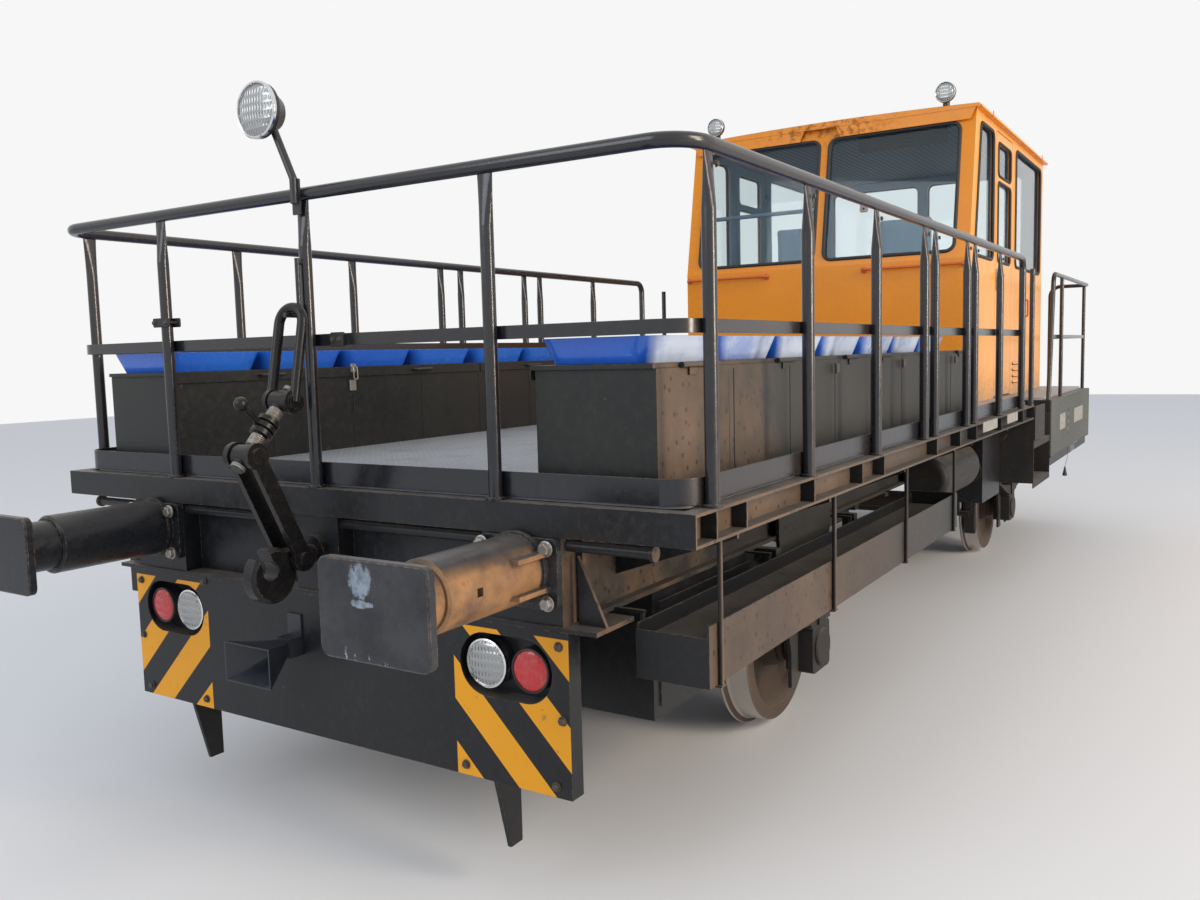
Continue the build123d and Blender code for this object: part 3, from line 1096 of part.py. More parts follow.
def build_boxes():
    """Lockers behind the open end's skirt and battery boxes under the cab's front."""
    locker = block(at(LOCKER_START), at(LOCKER_END), -FRAME_HALF_WIDTH + LOCKER_DOOR, -LOCKER_INNER_Y,
                   LOCKER_BOTTOM, FRAME_BOTTOM - SEAT_GAP)
    door = block(at(LOCKER_START) + LOCKER_FRAME, at(LOCKER_END) - LOCKER_FRAME, -FRAME_HALF_WIDTH,
                 -FRAME_HALF_WIDTH + LOCKER_DOOR, LOCKER_BOTTOM + LOCKER_FRAME, FRAME_BOTTOM - LOCKER_FRAME)
    case = block(at(BATTERY_START), at(BATTERY_END), -BATTERY_OUTER_Y, -FRAME_HALF_WIDTH - SEAT_GAP,
                 BATTERY_BOTTOM, BATTERY_TOP)
    case = chamfer(case.edges().filter_by(Axis.X).group_by(Axis.Z)[-1].sort_by(Axis.Y)[0], LOCKER_FRAME)
    disc = rod((at(BATTERY_START) - DISC_DEPTH, -DISC_Y, DISC_Z), (at(BATTERY_START), -DISC_Y, DISC_Z), DISC_RADIUS)
    return both_sides([locker + door, case + disc])


def build_tanks():
    """Fuel tanks outside the solebars and air reservoirs between the beams."""
    tank = rod((at(TANK_START), -TANK_Y, TANK_Z), (at(TANK_END), -TANK_Y, TANK_Z), TANK_RADIUS)
    tank = fillet(tank.edges(), TANK_END_ROUND)
    tank -= block(at(TANK_START) - CUT, at(TANK_END) + CUT, -FRAME_HALF_WIDTH - SEAT_GAP, 0,
                  TANK_Z - 2 * TANK_RADIUS, TANK_Z + 2 * TANK_RADIUS)
    for end in (TANK_START + TANK_BAND, TANK_END - TANK_BAND):
        x = at(end)
        tank += block(x - TANK_STRAP_HALF, x + TANK_STRAP_HALF, -TANK_Y - TANK_RADIUS / 2,
                      -FRAME_HALF_WIDTH - SEAT_GAP, TANK_Z, EDGE_BOTTOM - TANK_STRAP_HALF)
    start = at(RESERVOIR_START)
    solebar = FRAME_HALF_WIDTH - SOLEBAR_FLANGE
    y = (CENTRE_BEAM_Y + solebar) / 2
    vessel = rod((start, -y, RESERVOIR_Z), (start + RESERVOIR_LENGTH, -y, RESERVOIR_Z), RESERVOIR_RADIUS)
    vessel = fillet(vessel.edges(), RESERVOIR_END_ROUND)
    low, high = RESERVOIR_Z - RESERVOIR_BAND_HALF, RESERVOIR_Z + RESERVOIR_BAND_HALF
    for share in RESERVOIR_BAND_SHARES:
        x = start + RESERVOIR_LENGTH * share
        near, far = x - TANK_STRAP_HALF, x + TANK_STRAP_HALF
        band = RESERVOIR_RADIUS + RESERVOIR_BAND_STEP
        vessel += block(near, far, -y - band, -y + band, low, high)
        vessel += block(near, far, -solebar + SEAT_GAP, -y, low, high)
        vessel += block(near, far, -solebar + SEAT_GAP, -solebar + SEAT_GAP + RESERVOIR_HANGER,
                        low, FRAME_BOTTOM + RESERVOIR_HANGER_LAP)
    return both_sides([tank, vessel])


def build_engine():
    """Engine and gearbox as one plain mass between the centre beams."""
    half = CENTRE_BEAM_Y - CENTRE_BEAM_FLANGE / 2 - SEAT_GAP
    body = block(at(ENGINE_START), at(ENGINE_END), -half, half, ENGINE_SUMP_TOP, ENGINE_TOP)
    sump = block(at(ENGINE_START) + ENGINE_STEP, at(ENGINE_END) - ENGINE_STEP, -half + ENGINE_STEP,
                 half - ENGINE_STEP, ENGINE_BOTTOM, ENGINE_SUMP_TOP)
    return body + sump


def post(x, y, foot_z, along_x):
    """Railing post whose top is flattened under the rail."""
    top = RAIL_Z - RAIL_TUBE_RADIUS - SEAT_GAP
    straight = top - POST_TAPER
    stem = rod((x, y, foot_z), (x, y, straight), POST_RADIUS)
    direction = (1, 0, 0) if along_x else (0, 1, 0)
    low = Plane(origin=(x, y, straight), x_dir=direction, z_dir=(0, 0, 1)) * Circle(POST_RADIUS)
    high = Plane(origin=(x, y, top), x_dir=direction, z_dir=(0, 0, 1)) * Ellipse(POST_FLAT_WIDTH / 2, POST_FLAT / 2)
    foot = Pos(x, y, foot_z + POST_FOOT_THICKNESS / 2) * Cylinder(POST_FOOT / 2, POST_FOOT_THICKNESS)
    return fuse([stem, loft([low, high]), foot])


def flat_rail(points, radius, z0, height, thickness):
    """Flat bar on edge, bent round the corners."""
    path = FilletPolyline(*[(x, y, z0 + height / 2) for x, y in points], radius=radius)
    start = Vector(points[0][0], points[0][1], z0 + height / 2)
    toward = Vector(points[1][0] - points[0][0], points[1][1] - points[0][1], 0)
    plane = Plane(origin=start, x_dir=Vector(0, 0, 1), z_dir=toward)
    return sweep(plane * Rectangle(height, thickness), path=path)


def build_deck_railing():
    """One bent top tube round the open deck, its posts, and its middle bar with the toe plate."""
    end_x = at(RAIL_LAST_STATION)
    near = at(RAIL_STATION)
    foot = DECK_Z + SEAT_GAP
    route = [(end_x, -RAIL_Y, foot), (end_x, -RAIL_Y, RAIL_Z), (near, -RAIL_Y, RAIL_Z), (near, RAIL_Y, RAIL_Z),
             (end_x, RAIL_Y, RAIL_Z), (end_x, RAIL_Y, foot)]
    top = bent_tube(route, RAIL_TUBE_RADIUS, [RAIL_END_RADIUS, RAIL_CORNER_RADIUS, RAIL_CORNER_RADIUS,
                                              RAIL_END_RADIUS])
    posts = [post(at(RAIL_LAST_STATION * share), side * RAIL_Y, foot, True)
             for share in SIDE_POST_SHARES for side in (-1, 1)]
    posts += [post(near, y, foot, False) for y in FRONT_POST_Y]
    posts.append(peg_bracket(POST_RADIUS + SEAT_GAP))
    inset = RAIL_TUBE_RADIUS + MID_BAR_THICKNESS / 2 + SEAT_GAP
    x_bar = near + inset
    y_bar = RAIL_Y - inset
    bar_route = [(end_x, -y_bar), (x_bar, -y_bar), (x_bar, y_bar), (end_x, y_bar)]
    middle = flat_rail(bar_route, MID_BAR_CORNER, MID_BAR_Z - MID_BAR_HEIGHT / 2, MID_BAR_HEIGHT, MID_BAR_THICKNESS)
    toe_inset = RAIL_TUBE_RADIUS + TOE_THICKNESS / 2 + SEAT_GAP
    toe_y = RAIL_Y - toe_inset
    toe_x = near + toe_inset
    toe_route = [(end_x, -toe_y), (toe_x, -toe_y), (toe_x, toe_y), (end_x, toe_y)]
    toe = flat_rail(toe_route, MID_BAR_CORNER, foot + POST_FOOT_THICKNESS + SEAT_GAP, TOE_HEIGHT, TOE_THICKNESS)
    return top, posts, [middle, toe]


def peg_bracket(gap):
    """Rod in front of the middle post, starting a gap from its axis, whose peg holds the coupling's bow."""
    near = at(RAIL_STATION) - gap
    rod_x = at(PEG_ROD_STATION)
    bow_z = DECK_Z + BOW_TOP[1]
    peg_z = bow_z - BOW_RADIUS - PEG_RADIUS - SEAT_GAP
    return fuse([
        rod((near, 0, bow_z + PEG_ROD_RISE), (rod_x, 0, bow_z + PEG_ROD_RISE), PEG_RADIUS),
        rod((rod_x, 0, bow_z + PEG_ROD_RISE + PEG_ROD_END), (rod_x, 0, peg_z - PEG_ROD_END), PEG_RADIUS),
        rod((rod_x, 0, peg_z), (rod_x - PEG_REACH, 0, peg_z), PEG_RADIUS),
    ])


def build_rear_stanchion():
    """Short post in the middle of the cab end, with the same rod and peg."""
    near = at(RAIL_STATION)
    top = DECK_Z + BOW_TOP[1] + PEG_ROD_RISE + PEG_ROD_END
    foot = DECK_Z + SEAT_GAP
    stem = rod((near, 0, foot), (near, 0, top), THIN_POST_RADIUS)
    base = Pos(near, 0, foot + POST_FOOT_THICKNESS / 2) * Cylinder(POST_FOOT / 2, POST_FOOT_THICKNESS)
    return other_end(fuse([stem, base, peg_bracket(0)]))


def build_walk_railing():
    """Bent tube beside the cab's right side, turned in at the end beam."""
    y = -RAIL_Y
    foot = DECK_Z + SEAT_GAP
    end_x = at(WALK_RAIL_END)
    route = [(at(WALK_RAIL_FOOT), y, foot), (at(WALK_RAIL_START), y, WALK_RAIL_Z), (end_x, y, WALK_RAIL_Z),
             (end_x, -WALK_RAIL_INNER_Y, WALK_RAIL_Z), (end_x, -WALK_RAIL_INNER_Y, foot)]
    pieces = [bent_tube(route, THIN_POST_RADIUS, [WALK_BEND, WALK_BEND, WALK_BEND])]
    pieces.append(rod((at(WALK_RAIL_MIDDLE), y, foot), (at(WALK_RAIL_MIDDLE), y, WALK_RAIL_Z), WALK_POST_RADIUS))
    inset = WALK_CORNER_SHARE * WALK_BEND
    pieces.append(rod((end_x - inset, y + inset, foot), (end_x - inset, y + inset, WALK_RAIL_Z), WALK_POST_RADIUS))
    share = (WALK_MID_Z - foot) / (WALK_RAIL_Z - foot)
    mid_start = at(WALK_RAIL_FOOT + share * (WALK_RAIL_START - WALK_RAIL_FOOT))
    pieces.append(block(mid_start, end_x, y + THIN_POST_RADIUS - CUT, y + THIN_POST_RADIUS + MID_BAR_THICKNESS,
                        WALK_MID_Z - WALK_BAR_HEIGHT / 2, WALK_MID_Z + WALK_BAR_HEIGHT / 2))
    pieces.append(block(end_x - MID_BAR_THICKNESS / 2, end_x + MID_BAR_THICKNESS / 2, y + THIN_POST_RADIUS,
                        -WALK_RAIL_INNER_Y, WALK_MID_Z - WALK_BAR_HEIGHT / 2, WALK_MID_Z + WALK_BAR_HEIGHT / 2))
    sunk = block(at(WALK_RAIL_FOOT) - POST_FOOT, at(WALK_RAIL_FOOT) + POST_FOOT, y - POST_FOOT, y + POST_FOOT,
                 foot - POST_FOOT, foot)
    return fuse(pieces) - sunk


def build_entry_post():
    """Thin post in front of the entry steps."""
    foot = DECK_Z + SEAT_GAP
    x = at(ENTRY_POST_STATION)
    y = -RAIL_Y
    stem = rod((x, y, foot), (x, y, WALK_RAIL_Z - THIN_POST_RADIUS), THIN_POST_RADIUS)
    return stem + Pos(x, y, foot + POST_FOOT_THICKNESS / 2) * Cylinder(ENTRY_FOOT_RADIUS, POST_FOOT_THICKNESS)


def build_lamp(x, y, z, radius, depth):
    """Round work lamp facing the open end, with a domed back."""
    outline = [(0, 0), (radius, 0), (radius, LAMP_RIM), (radius * LAMP_STEP_SHARE, LAMP_RIM)]
    outline += [(radius * across, depth * along) for across, along in LAMP_BACK] + [(0, depth)]
    face = make_face(Polyline(*outline, close=True))
    body = revolve(Plane.XZ * face, Axis.Z, 360)
    return Pos(x, y, z) * Rot(0, 90, 0) * body


def build_work_lamps():
    """Headlamp on an arm at the middle post and two lamps on the cab roof."""
    x, y, z = at(HEADLAMP_STATION), HEADLAMP_Y, HEADLAMP_Z
    lamp = build_lamp(x, y, z, HEADLAMP_RADIUS, HEADLAMP_DEPTH)
    plate_x = at(RAIL_STATION) - RAIL_TUBE_RADIUS - SEAT_GAP
    plate = block(plate_x - ARM_PLATE, plate_x, -ARM_PLATE_WIDTH / 2, ARM_PLATE_WIDTH / 2,
                  RAIL_Z - ARM_PLATE_DROP, RAIL_Z + ARM_PLATE_RISE)
    arm_x = plate_x - ARM_RADIUS
    route = [(arm_x, 0, RAIL_Z - ARM_PLATE_DROP / 2), (arm_x, 0, RAIL_Z + ARM_PLATE_RISE), (x + ARM_TOP_DEPTH, y, z)]
    arms = [rod(start, stop, ARM_RADIUS) for start, stop in zip(route, route[1:])]
    arms.append(Pos(*route[1]) * Sphere(ARM_RADIUS))
    shapes = [fuse([lamp, plate] + arms)]
    for side in (-1, 1):
        spot = (at(ROOF_LAMP_STATION), side * ROOF_LAMP_Y, ROOF_TOP + ROOF_LAMP_RADIUS + ROOF_LAMP_STEM)
        body = build_lamp(*spot, ROOF_LAMP_RADIUS, ROOF_LAMP_DEPTH)
        stem_x = spot[0] + ROOF_LAMP_DEPTH / 2
        stem_radius = ROOF_LAMP_RADIUS / 3
        foot = roof_height(ROOF_LAMP_Y - stem_radius) + SEAT_GAP
        stem = rod((stem_x, spot[1], foot), (stem_x, spot[1], spot[2]), stem_radius)
        shapes.append(body + stem)
    return shapes


def roof_height(y):
    """Top of the crowned roof at a distance from the middle."""
    half = CAB_HALF_WIDTH + ROOF_OVERHANG
    rise = ROOF_CROWN
    radius = (half * half + rise * rise) / (2 * rise)
    return ROOF_TOP - radius + math.sqrt(radius * radius - y * y)


def horn_cone(shrink, reach):
    """Cone from the round throat to the oblong mouth, smaller all round and longer by given amounts."""
    x = at(0)
    throat = Plane(origin=(x - HORN_NECK - shrink, HORN_Y, HORN_Z), x_dir=(0, 1, 0), z_dir=(-1, 0, 0))
    mouth = Plane(origin=(x - HORN_REACH - reach, HORN_Y + HORN_SHIFT, HORN_Z - HORN_DROP), x_dir=(0, 1, 0),
                  z_dir=(-1, 0, 0))
    return loft([throat * Circle(HORN_THROAT - shrink),
                 mouth * Rectangle(HORN_MOUTH_WIDTH - 2 * shrink, HORN_MOUTH_HEIGHT - 2 * shrink)])


def build_horn():
    """Open horn whose square sided cone hangs on a bracket in front of the skirt."""
    x = at(0) - SEAT_GAP
    driver = block(x - HORN_NECK, x, HORN_Y - HORN_THROAT, HORN_Y + HORN_THROAT, HORN_Z - HORN_THROAT,
                   HORN_Z + HORN_THROAT)
    plate = block(x - HORN_BRACKET_PLATE, x, HORN_Y - HORN_THROAT, HORN_Y + HORN_THROAT, HORN_Z,
                  HORN_Z + HORN_BRACKET_RISE)
    return horn_cone(0, 0) - horn_cone(HORN_WALL, CUT) + driver + plate


def build_bench():
    """Hollow sheet steel box on the right side of the deck, open under its lids."""
    x0, x1 = at(BENCH_START), at(BENCH_END)
    top = DECK_Z + BENCH_HEIGHT
    box = block(x0, x1, -BENCH_OUTER_Y, -BENCH_INNER_Y, FLOOR_TOP, top)
    for start, stop in ((BENCH_START, BENCH_SPLIT), (BENCH_SPLIT, BENCH_END)):
        box -= block(at(start) + BENCH_WALL, at(stop) - BENCH_WALL, -BENCH_OUTER_Y + BENCH_WALL,
                     -BENCH_INNER_Y - BENCH_WALL, FLOOR_TOP + BENCH_WALL, top + CUT)
    parts = [box]
    for start, stop in lid_spans().values():
        for x in knuckle_places(start, stop):
            parts.append(rod((x - KNUCKLE, -HINGE_Y, HINGE_Z), (x + KNUCKLE, -HINGE_Y, HINGE_Z), LID_HINGE_RADIUS))
            parts.append(block(x - KNUCKLE, x + KNUCKLE, -HINGE_Y, -BENCH_OUTER_Y, HINGE_Z - HINGE_PLATE, HINGE_Z))
    return fuse(parts)


def lid_spans():
    """Start and end of each lid as seen from the open end."""
    return {
        "front": (at(BENCH_START) - LID_OVERHANG, at(BENCH_SPLIT) - LID_GAP / 2),
        "rear": (at(BENCH_SPLIT) + LID_GAP / 2, at(BENCH_END) + LID_OVERHANG),
    }


def knuckle_places(start, stop):
    """Middle of each pair of hinge knuckles along a lid."""
    length = stop - start
    return [start + length * share for share in HINGE_SHARES]


def build_lid(where):
    """Right lid with its half of the hinge knuckles and two handles on the aisle edge."""
    start, stop = lid_spans()[where]
    low = DECK_Z + BENCH_HEIGHT + SEAT_GAP
    inner = -BENCH_INNER_Y + LID_OVERHANG
    lid = block(start, stop, -BENCH_OUTER_Y + LID_EDGE_GAP, inner, low, low + LID_THICKNESS)
    parts = [lid, block(start, stop, inner - LID_RIM_WALL, inner, low - LID_RIM, low + LID_THICKNESS)]
    for x in knuckle_places(start, stop):
        for side in (-1, 1):
            near, far = sorted((x + side * (KNUCKLE + SEAT_GAP), x + side * (3 * KNUCKLE)))
            parts.append(rod((near, -HINGE_Y, HINGE_Z), (far, -HINGE_Y, HINGE_Z), LID_HINGE_RADIUS))
            parts.append(block(near, far, -HINGE_Y, -BENCH_OUTER_Y + 2 * LID_EDGE_GAP, HINGE_Z - LID_HINGE_RADIUS / 2,
                               HINGE_Z + LID_HINGE_RADIUS / 2))
    for share in HANDLE_SHARES:
        x = start + (stop - start) * share
        z = low - LID_RIM / 2 + LID_THICKNESS / 2
        loop = [(x - HANDLE_HALF, inner - CUT, z), (x - HANDLE_HALF, inner + HANDLE_REACH, z),
                (x + HANDLE_HALF, inner + HANDLE_REACH, z), (x + HANDLE_HALF, inner - CUT, z)]
        parts.append(bent_tube(loop, HANDLE_RADIUS, HANDLE_BEND))
    return fuse(parts)


def build_seats(where):
    """Row of moulded bucket seats on one right lid, as many as its free length takes."""
    start, stop = lid_spans()[where]
    start += SEAT_END_GAP
    count = max(1, int((stop - LID_FREE_END[where] - start + SEAT_PITCH - SEAT_LENGTH) // SEAT_PITCH))
    low = DECK_Z + BENCH_HEIGHT + 2 * SEAT_GAP + LID_THICKNESS
    middle_y = -(BENCH_INNER_Y + BENCH_OUTER_Y) / 2
    seats = []
    for place in range(count):
        x = start + SEAT_PITCH * place + SEAT_LENGTH / 2
        base = Plane(origin=(x, middle_y, low)) * fillet(
            Rectangle(SEAT_LENGTH - 2 * SEAT_FLARE, SEAT_DEPTH - 2 * SEAT_FLARE).vertices(), SEAT_CORNER)
        rim = Plane(origin=(x, middle_y, low + SEAT_HEIGHT)) * fillet(
            Rectangle(SEAT_LENGTH, SEAT_DEPTH).vertices(), SEAT_CORNER)
        shell = loft([base, rim])
        dish_low = Plane(origin=(x, middle_y, low + SEAT_HEIGHT - SEAT_DISH)) * fillet(
            Rectangle(SEAT_LENGTH - 2 * SEAT_DISH_INSET, SEAT_DEPTH - 2 * SEAT_DISH_INSET).vertices(), SEAT_CORNER)
        dish_high = Plane(origin=(x, middle_y, low + SEAT_HEIGHT + CUT)) * fillet(
            Rectangle(SEAT_LENGTH - 2 * SEAT_RIM, SEAT_DEPTH - 2 * SEAT_RIM).vertices(), SEAT_CORNER - SEAT_RIM)
        seats.append(shell - loft([dish_low, dish_high]))
    return seats


def raked_x(z):
    """X of the cab front's outer face at a height."""
    share = max(0.0, (z - CAB_WAIST_Z) / (CAB_EAVES_Z - CAB_WAIST_Z))
    return at(CAB_START) + CAB_RAKE * share


def front_profile(depth_low, depth_high):
    """Side view of a slice of the cab front between two depths behind its face."""
    levels = (FLOOR_TOP, CAB_WAIST_Z, CAB_EAVES_Z)
    fore = [(raked_x(z) + depth_low, z) for z in levels]
    aft = [(raked_x(z) + depth_high, z) for z in reversed(levels)]
    return fore + aft


def screen_openings(grow):
    """Two windscreen openings, run through the cab's length, grown by a margin."""
    shapes = []
    for side in (-1, 1):
        y0, y1 = sorted((side * (SCREEN_INNER_Y - grow), side * (SCREEN_OUTER_Y + grow)))
        z0, z1 = SCREEN_BOTTOM_Z - grow, SCREEN_TOP_Z + grow
        face = rounded_outline([(y0, z0), (y1, z0), (y1, z1), (y0, z1)], WINDOW_CORNER + grow)
        shapes.append(Plane(origin=(0, 0, 0), x_dir=(0, 1, 0), z_dir=(1, 0, 0)) * extrude(face, DECK_LENGTH / 2))
    return shapes


def build_cab_front():
    """Front wall with the two windscreen openings, raked above the waist."""
    wall = side_plate(front_profile(0, CAB_WALL), 0, 2 * CAB_HALF_WIDTH)
    for opening in screen_openings(0):
        wall -= opening
    return wall


def rear_openings(grow):
    """Two openings in the rear wall, grown by a margin."""
    shapes = []
    for side in (-1, 1):
        y0, y1 = sorted((side * (REAR_WINDOW_SPLIT - grow), side * (REAR_WINDOW_HALF + grow)))
        z0, z1 = SCREEN_BOTTOM_Z - grow, SIDE_WINDOW_TOP_Z + grow
        face = rounded_outline([(y0, z0), (y1, z0), (y1, z1), (y0, z1)], WINDOW_CORNER + grow)
        shapes.append(Plane(origin=(at(CAB_END) - CAB_WALL - CUT, 0, 0), x_dir=(0, 1, 0), z_dir=(1, 0, 0))
                      * extrude(face, CAB_WALL + 2 * CUT))
    return shapes


def build_cab_rear():
    """Upright rear wall with two windows."""
    wall = block(at(CAB_END) - CAB_WALL, at(CAB_END), -CAB_HALF_WIDTH, CAB_HALF_WIDTH, FLOOR_TOP, CAB_EAVES_Z)
    for opening in rear_openings(0):
        wall -= opening
    return wall


def side_window_outlines(grow):
    """Corners of the two fixed side windows, as seen from the right."""
    z0, z1 = SIDE_WINDOW_BOTTOM_Z - grow, SIDE_WINDOW_TOP_Z + grow
    lean = raked_x(z1) - raked_x(z0)
    front, back = at(FRONT_SIDE_WINDOW[0]) - grow, at(FRONT_SIDE_WINDOW[1]) + grow
    rear_a, rear_b = at(REAR_SIDE_WINDOW[0]) - grow, at(REAR_SIDE_WINDOW[1]) + grow
    return [
        [(front, z0), (back, z0), (back, z1), (front + lean, z1)],
        [(rear_a, z0), (rear_b, z0), (rear_b, z1), (rear_a, z1)],
    ]


def through_side(outline, radius, y0, y1):
    """Solid from an outline in the side wall's plane between two distances from the middle."""
    face = rounded_outline(outline, radius)
    return extrude(Plane(origin=(0, y1, 0), x_dir=(1, 0, 0), z_dir=(0, -1, 0)) * face, y1 - y0)


def build_cab_side():
    """Right cab wall between the front and rear walls, with windows, door opening and louvres."""
    inner = CAB_HALF_WIDTH - CAB_WALL
    outline = [(x + CAB_WALL, z) for x, z in ((raked_x(z), z) for z in (FLOOR_TOP, CAB_WAIST_Z, CAB_EAVES_Z))]
    outline += [(at(CAB_END) - CAB_WALL, CAB_EAVES_Z), (at(CAB_END) - CAB_WALL, FLOOR_TOP)]
    wall = side_plate(outline, -(CAB_HALF_WIDTH - CAB_WALL / 2), CAB_WALL)
    for window in side_window_outlines(0):
        wall -= through_side(window, WINDOW_CORNER, -CAB_HALF_WIDTH - CUT, -inner + CUT)
    door = [(at(DOOR_START), FLOOR_TOP - CUT), (at(DOOR_END), FLOOR_TOP - CUT), (at(DOOR_END), DOOR_TOP_Z),
            (at(DOOR_START), DOOR_TOP_Z)]
    face = make_face(Polyline(*door, close=True))
    face = fillet(face.vertices().group_by(Axis.Y)[-1], WINDOW_CORNER)
    wall -= extrude(Plane(origin=(0, -inner + CUT, 0), x_dir=(1, 0, 0), z_dir=(0, -1, 0)) * face, CAB_WALL + 2 * CUT)
    for count in range(LOUVRE_COUNT):
        z = LOUVRE_LOWEST_Z + LOUVRE_PITCH * count
        blade = [(-CAB_HALF_WIDTH - 1, z), (-inner - LOUVRE_BACK, z), (-inner - LOUVRE_BACK, z + LOUVRE_OPEN / 2),
                 (-CAB_HALF_WIDTH - 1, z + LOUVRE_OPEN)]
        middle = at((LOUVRE_START + LOUVRE_END) / 2)
        wall -= cross_plate(blade, middle, LOUVRE_END - LOUVRE_START)
    return wall


def door_outline(gap):
    """Corners of the right door, smaller than its opening by a gap."""
    return [(at(DOOR_START) + gap, FLOOR_TOP + DOOR_FLOOR_GAP), (at(DOOR_END) - gap, FLOOR_TOP + DOOR_FLOOR_GAP),
            (at(DOOR_END) - gap, DOOR_TOP_Z - gap), (at(DOOR_START) + gap, DOOR_TOP_Z - gap)]


def door_panes(shrink):
    """Upper and lower window openings of the door."""
    x0, x1 = at(DOOR_START) + DOOR_WINDOW_SIDE + shrink, at(DOOR_END) - DOOR_WINDOW_SIDE - shrink
    levels = ((SIDE_WINDOW_BOTTOM_Z + shrink, DOOR_WINDOW_BAR_Z - DOOR_BAR / 2 - shrink),
              (DOOR_WINDOW_BAR_Z + DOOR_BAR / 2 + shrink, SIDE_WINDOW_TOP_Z - DOOR_BAR - shrink))
    return [[(x0, z0), (x1, z0), (x1, z1), (x0, z1)] for z0, z1 in levels]


def build_door():
    """Right cab door, as thick as the wall, hung at its rear edge to open inwards."""
    inner = CAB_HALF_WIDTH - CAB_WALL
    face = make_face(Polyline(*door_outline(DOOR_GAP), close=True))
    face = fillet(face.vertices().group_by(Axis.Y)[-1], WINDOW_CORNER - DOOR_GAP)
    leaf = extrude(Plane(origin=(0, -inner, 0), x_dir=(1, 0, 0), z_dir=(0, -1, 0)) * face, CAB_WALL)
    for pane in door_panes(0):
        leaf -= through_side(pane, DOOR_PANE_CORNER, -CAB_HALF_WIDTH - CUT, -inner + CUT)
    parts = [leaf]
    for z in DOOR_HINGE_Z:
        parts.append(rod((DOOR_PIN_X, -DOOR_PIN_Y, z), (DOOR_PIN_X, -DOOR_PIN_Y, z + DOOR_KNUCKLE), DOOR_PIN_RADIUS))
        parts.append(block(DOOR_PIN_X - DOOR_STRAP, DOOR_PIN_X, -inner - CUT, -DOOR_PIN_Y + DOOR_PIN_RADIUS / 2,
                           z, z + DOOR_KNUCKLE))
    grip_x = at(DOOR_START) + DOOR_GAP + DOOR_WINDOW_SIDE / 2
    for y in (-CAB_HALF_WIDTH - DOOR_GRIP, -inner + DOOR_GRIP):
        low, high = sorted((y, -CAB_HALF_WIDTH + CAB_WALL / 2))
        parts.append(rod((grip_x, low, DOOR_GRIP_Z), (grip_x, high, DOOR_GRIP_Z), DOOR_PIN_RADIUS))
        parts.append(rod((grip_x - DOOR_PIN_RADIUS, y, DOOR_GRIP_Z), (grip_x + DOOR_GRIP * 2, y, DOOR_GRIP_Z),
                         DOOR_PIN_RADIUS))
    return fuse(parts)


def build_door_brackets():
    """Wall halves of the door hinges, fused to the side wall."""
    inner = CAB_HALF_WIDTH - CAB_WALL
    parts = []
    for z in DOOR_HINGE_Z:
        low = z + DOOR_KNUCKLE + SEAT_GAP
        parts.append(rod((DOOR_PIN_X, -DOOR_PIN_Y, low), (DOOR_PIN_X, -DOOR_PIN_Y, low + DOOR_KNUCKLE),
                         DOOR_PIN_RADIUS))
        parts.append(block(DOOR_PIN_X, DOOR_PIN_X + DOOR_STRAP, -inner - CUT, -DOOR_PIN_Y + DOOR_PIN_RADIUS / 2,
                           low, low + DOOR_KNUCKLE))
    return parts


def build_glass():
    """Fixed panes, each in the middle of its wall's thickness."""
    middle = CAB_WALL / 2
    half = GLASS_THICKNESS / 2
    slab = side_plate(front_profile(middle - half, middle + half), 0, 2 * CAB_HALF_WIDTH)
    panes = [slab & opening for opening in screen_openings(-SEAT_GAP)]
    x = at(CAB_END) - middle
    rear = block(x - half, x + half, -CAB_HALF_WIDTH, CAB_HALF_WIDTH, FLOOR_TOP, CAB_EAVES_Z)
    panes += [rear & opening for opening in rear_openings(-SEAT_GAP)]
    y = -(CAB_HALF_WIDTH - middle)
    for window in side_window_outlines(-SEAT_GAP):
        pane = through_side(window, WINDOW_CORNER, y - half, y + half)
        panes += [pane, other_side(pane)]
    return panes


def build_door_glass():
    """Upper and lower pane of the right door."""
    y = -(CAB_HALF_WIDTH - CAB_WALL / 2)
    half = GLASS_THICKNESS / 2
    return [through_side(pane, DOOR_PANE_CORNER, y - half, y + half) for pane in door_panes(SEAT_GAP)]


def build_roof():
    """Crowned roof with a brow over the windscreens and gutters along the sides."""
    half = CAB_HALF_WIDTH + ROOF_OVERHANG
    side_z = ROOF_TOP - ROOF_CROWN
    front = raked_x(CAB_EAVES_Z) - ROOF_BROW
    face = make_face([
        Line((-half, CAB_EAVES_Z), (half, CAB_EAVES_Z)), Line((half, CAB_EAVES_Z), (half, side_z)),
        ThreePointArc((half, side_z), (0, ROOF_TOP), (-half, side_z)), Line((-half, side_z), (-half, CAB_EAVES_Z)),
    ])
    end = at(CAB_END) + ROOF_OVERHANG
    plane = Plane(origin=(front, 0, 0), x_dir=(0, 1, 0), z_dir=(1, 0, 0))
    roof = plane * extrude(face, end - front)
    for side in (-1, 1):
        low, high = sorted((side * half, side * (half + GUTTER)))
        roof += block(front + GUTTER, end, low, high, CAB_EAVES_Z, CAB_EAVES_Z + GUTTER)
    return fuse([roof] + brow_boards(front + BROW_BOARD_SET_BACK))


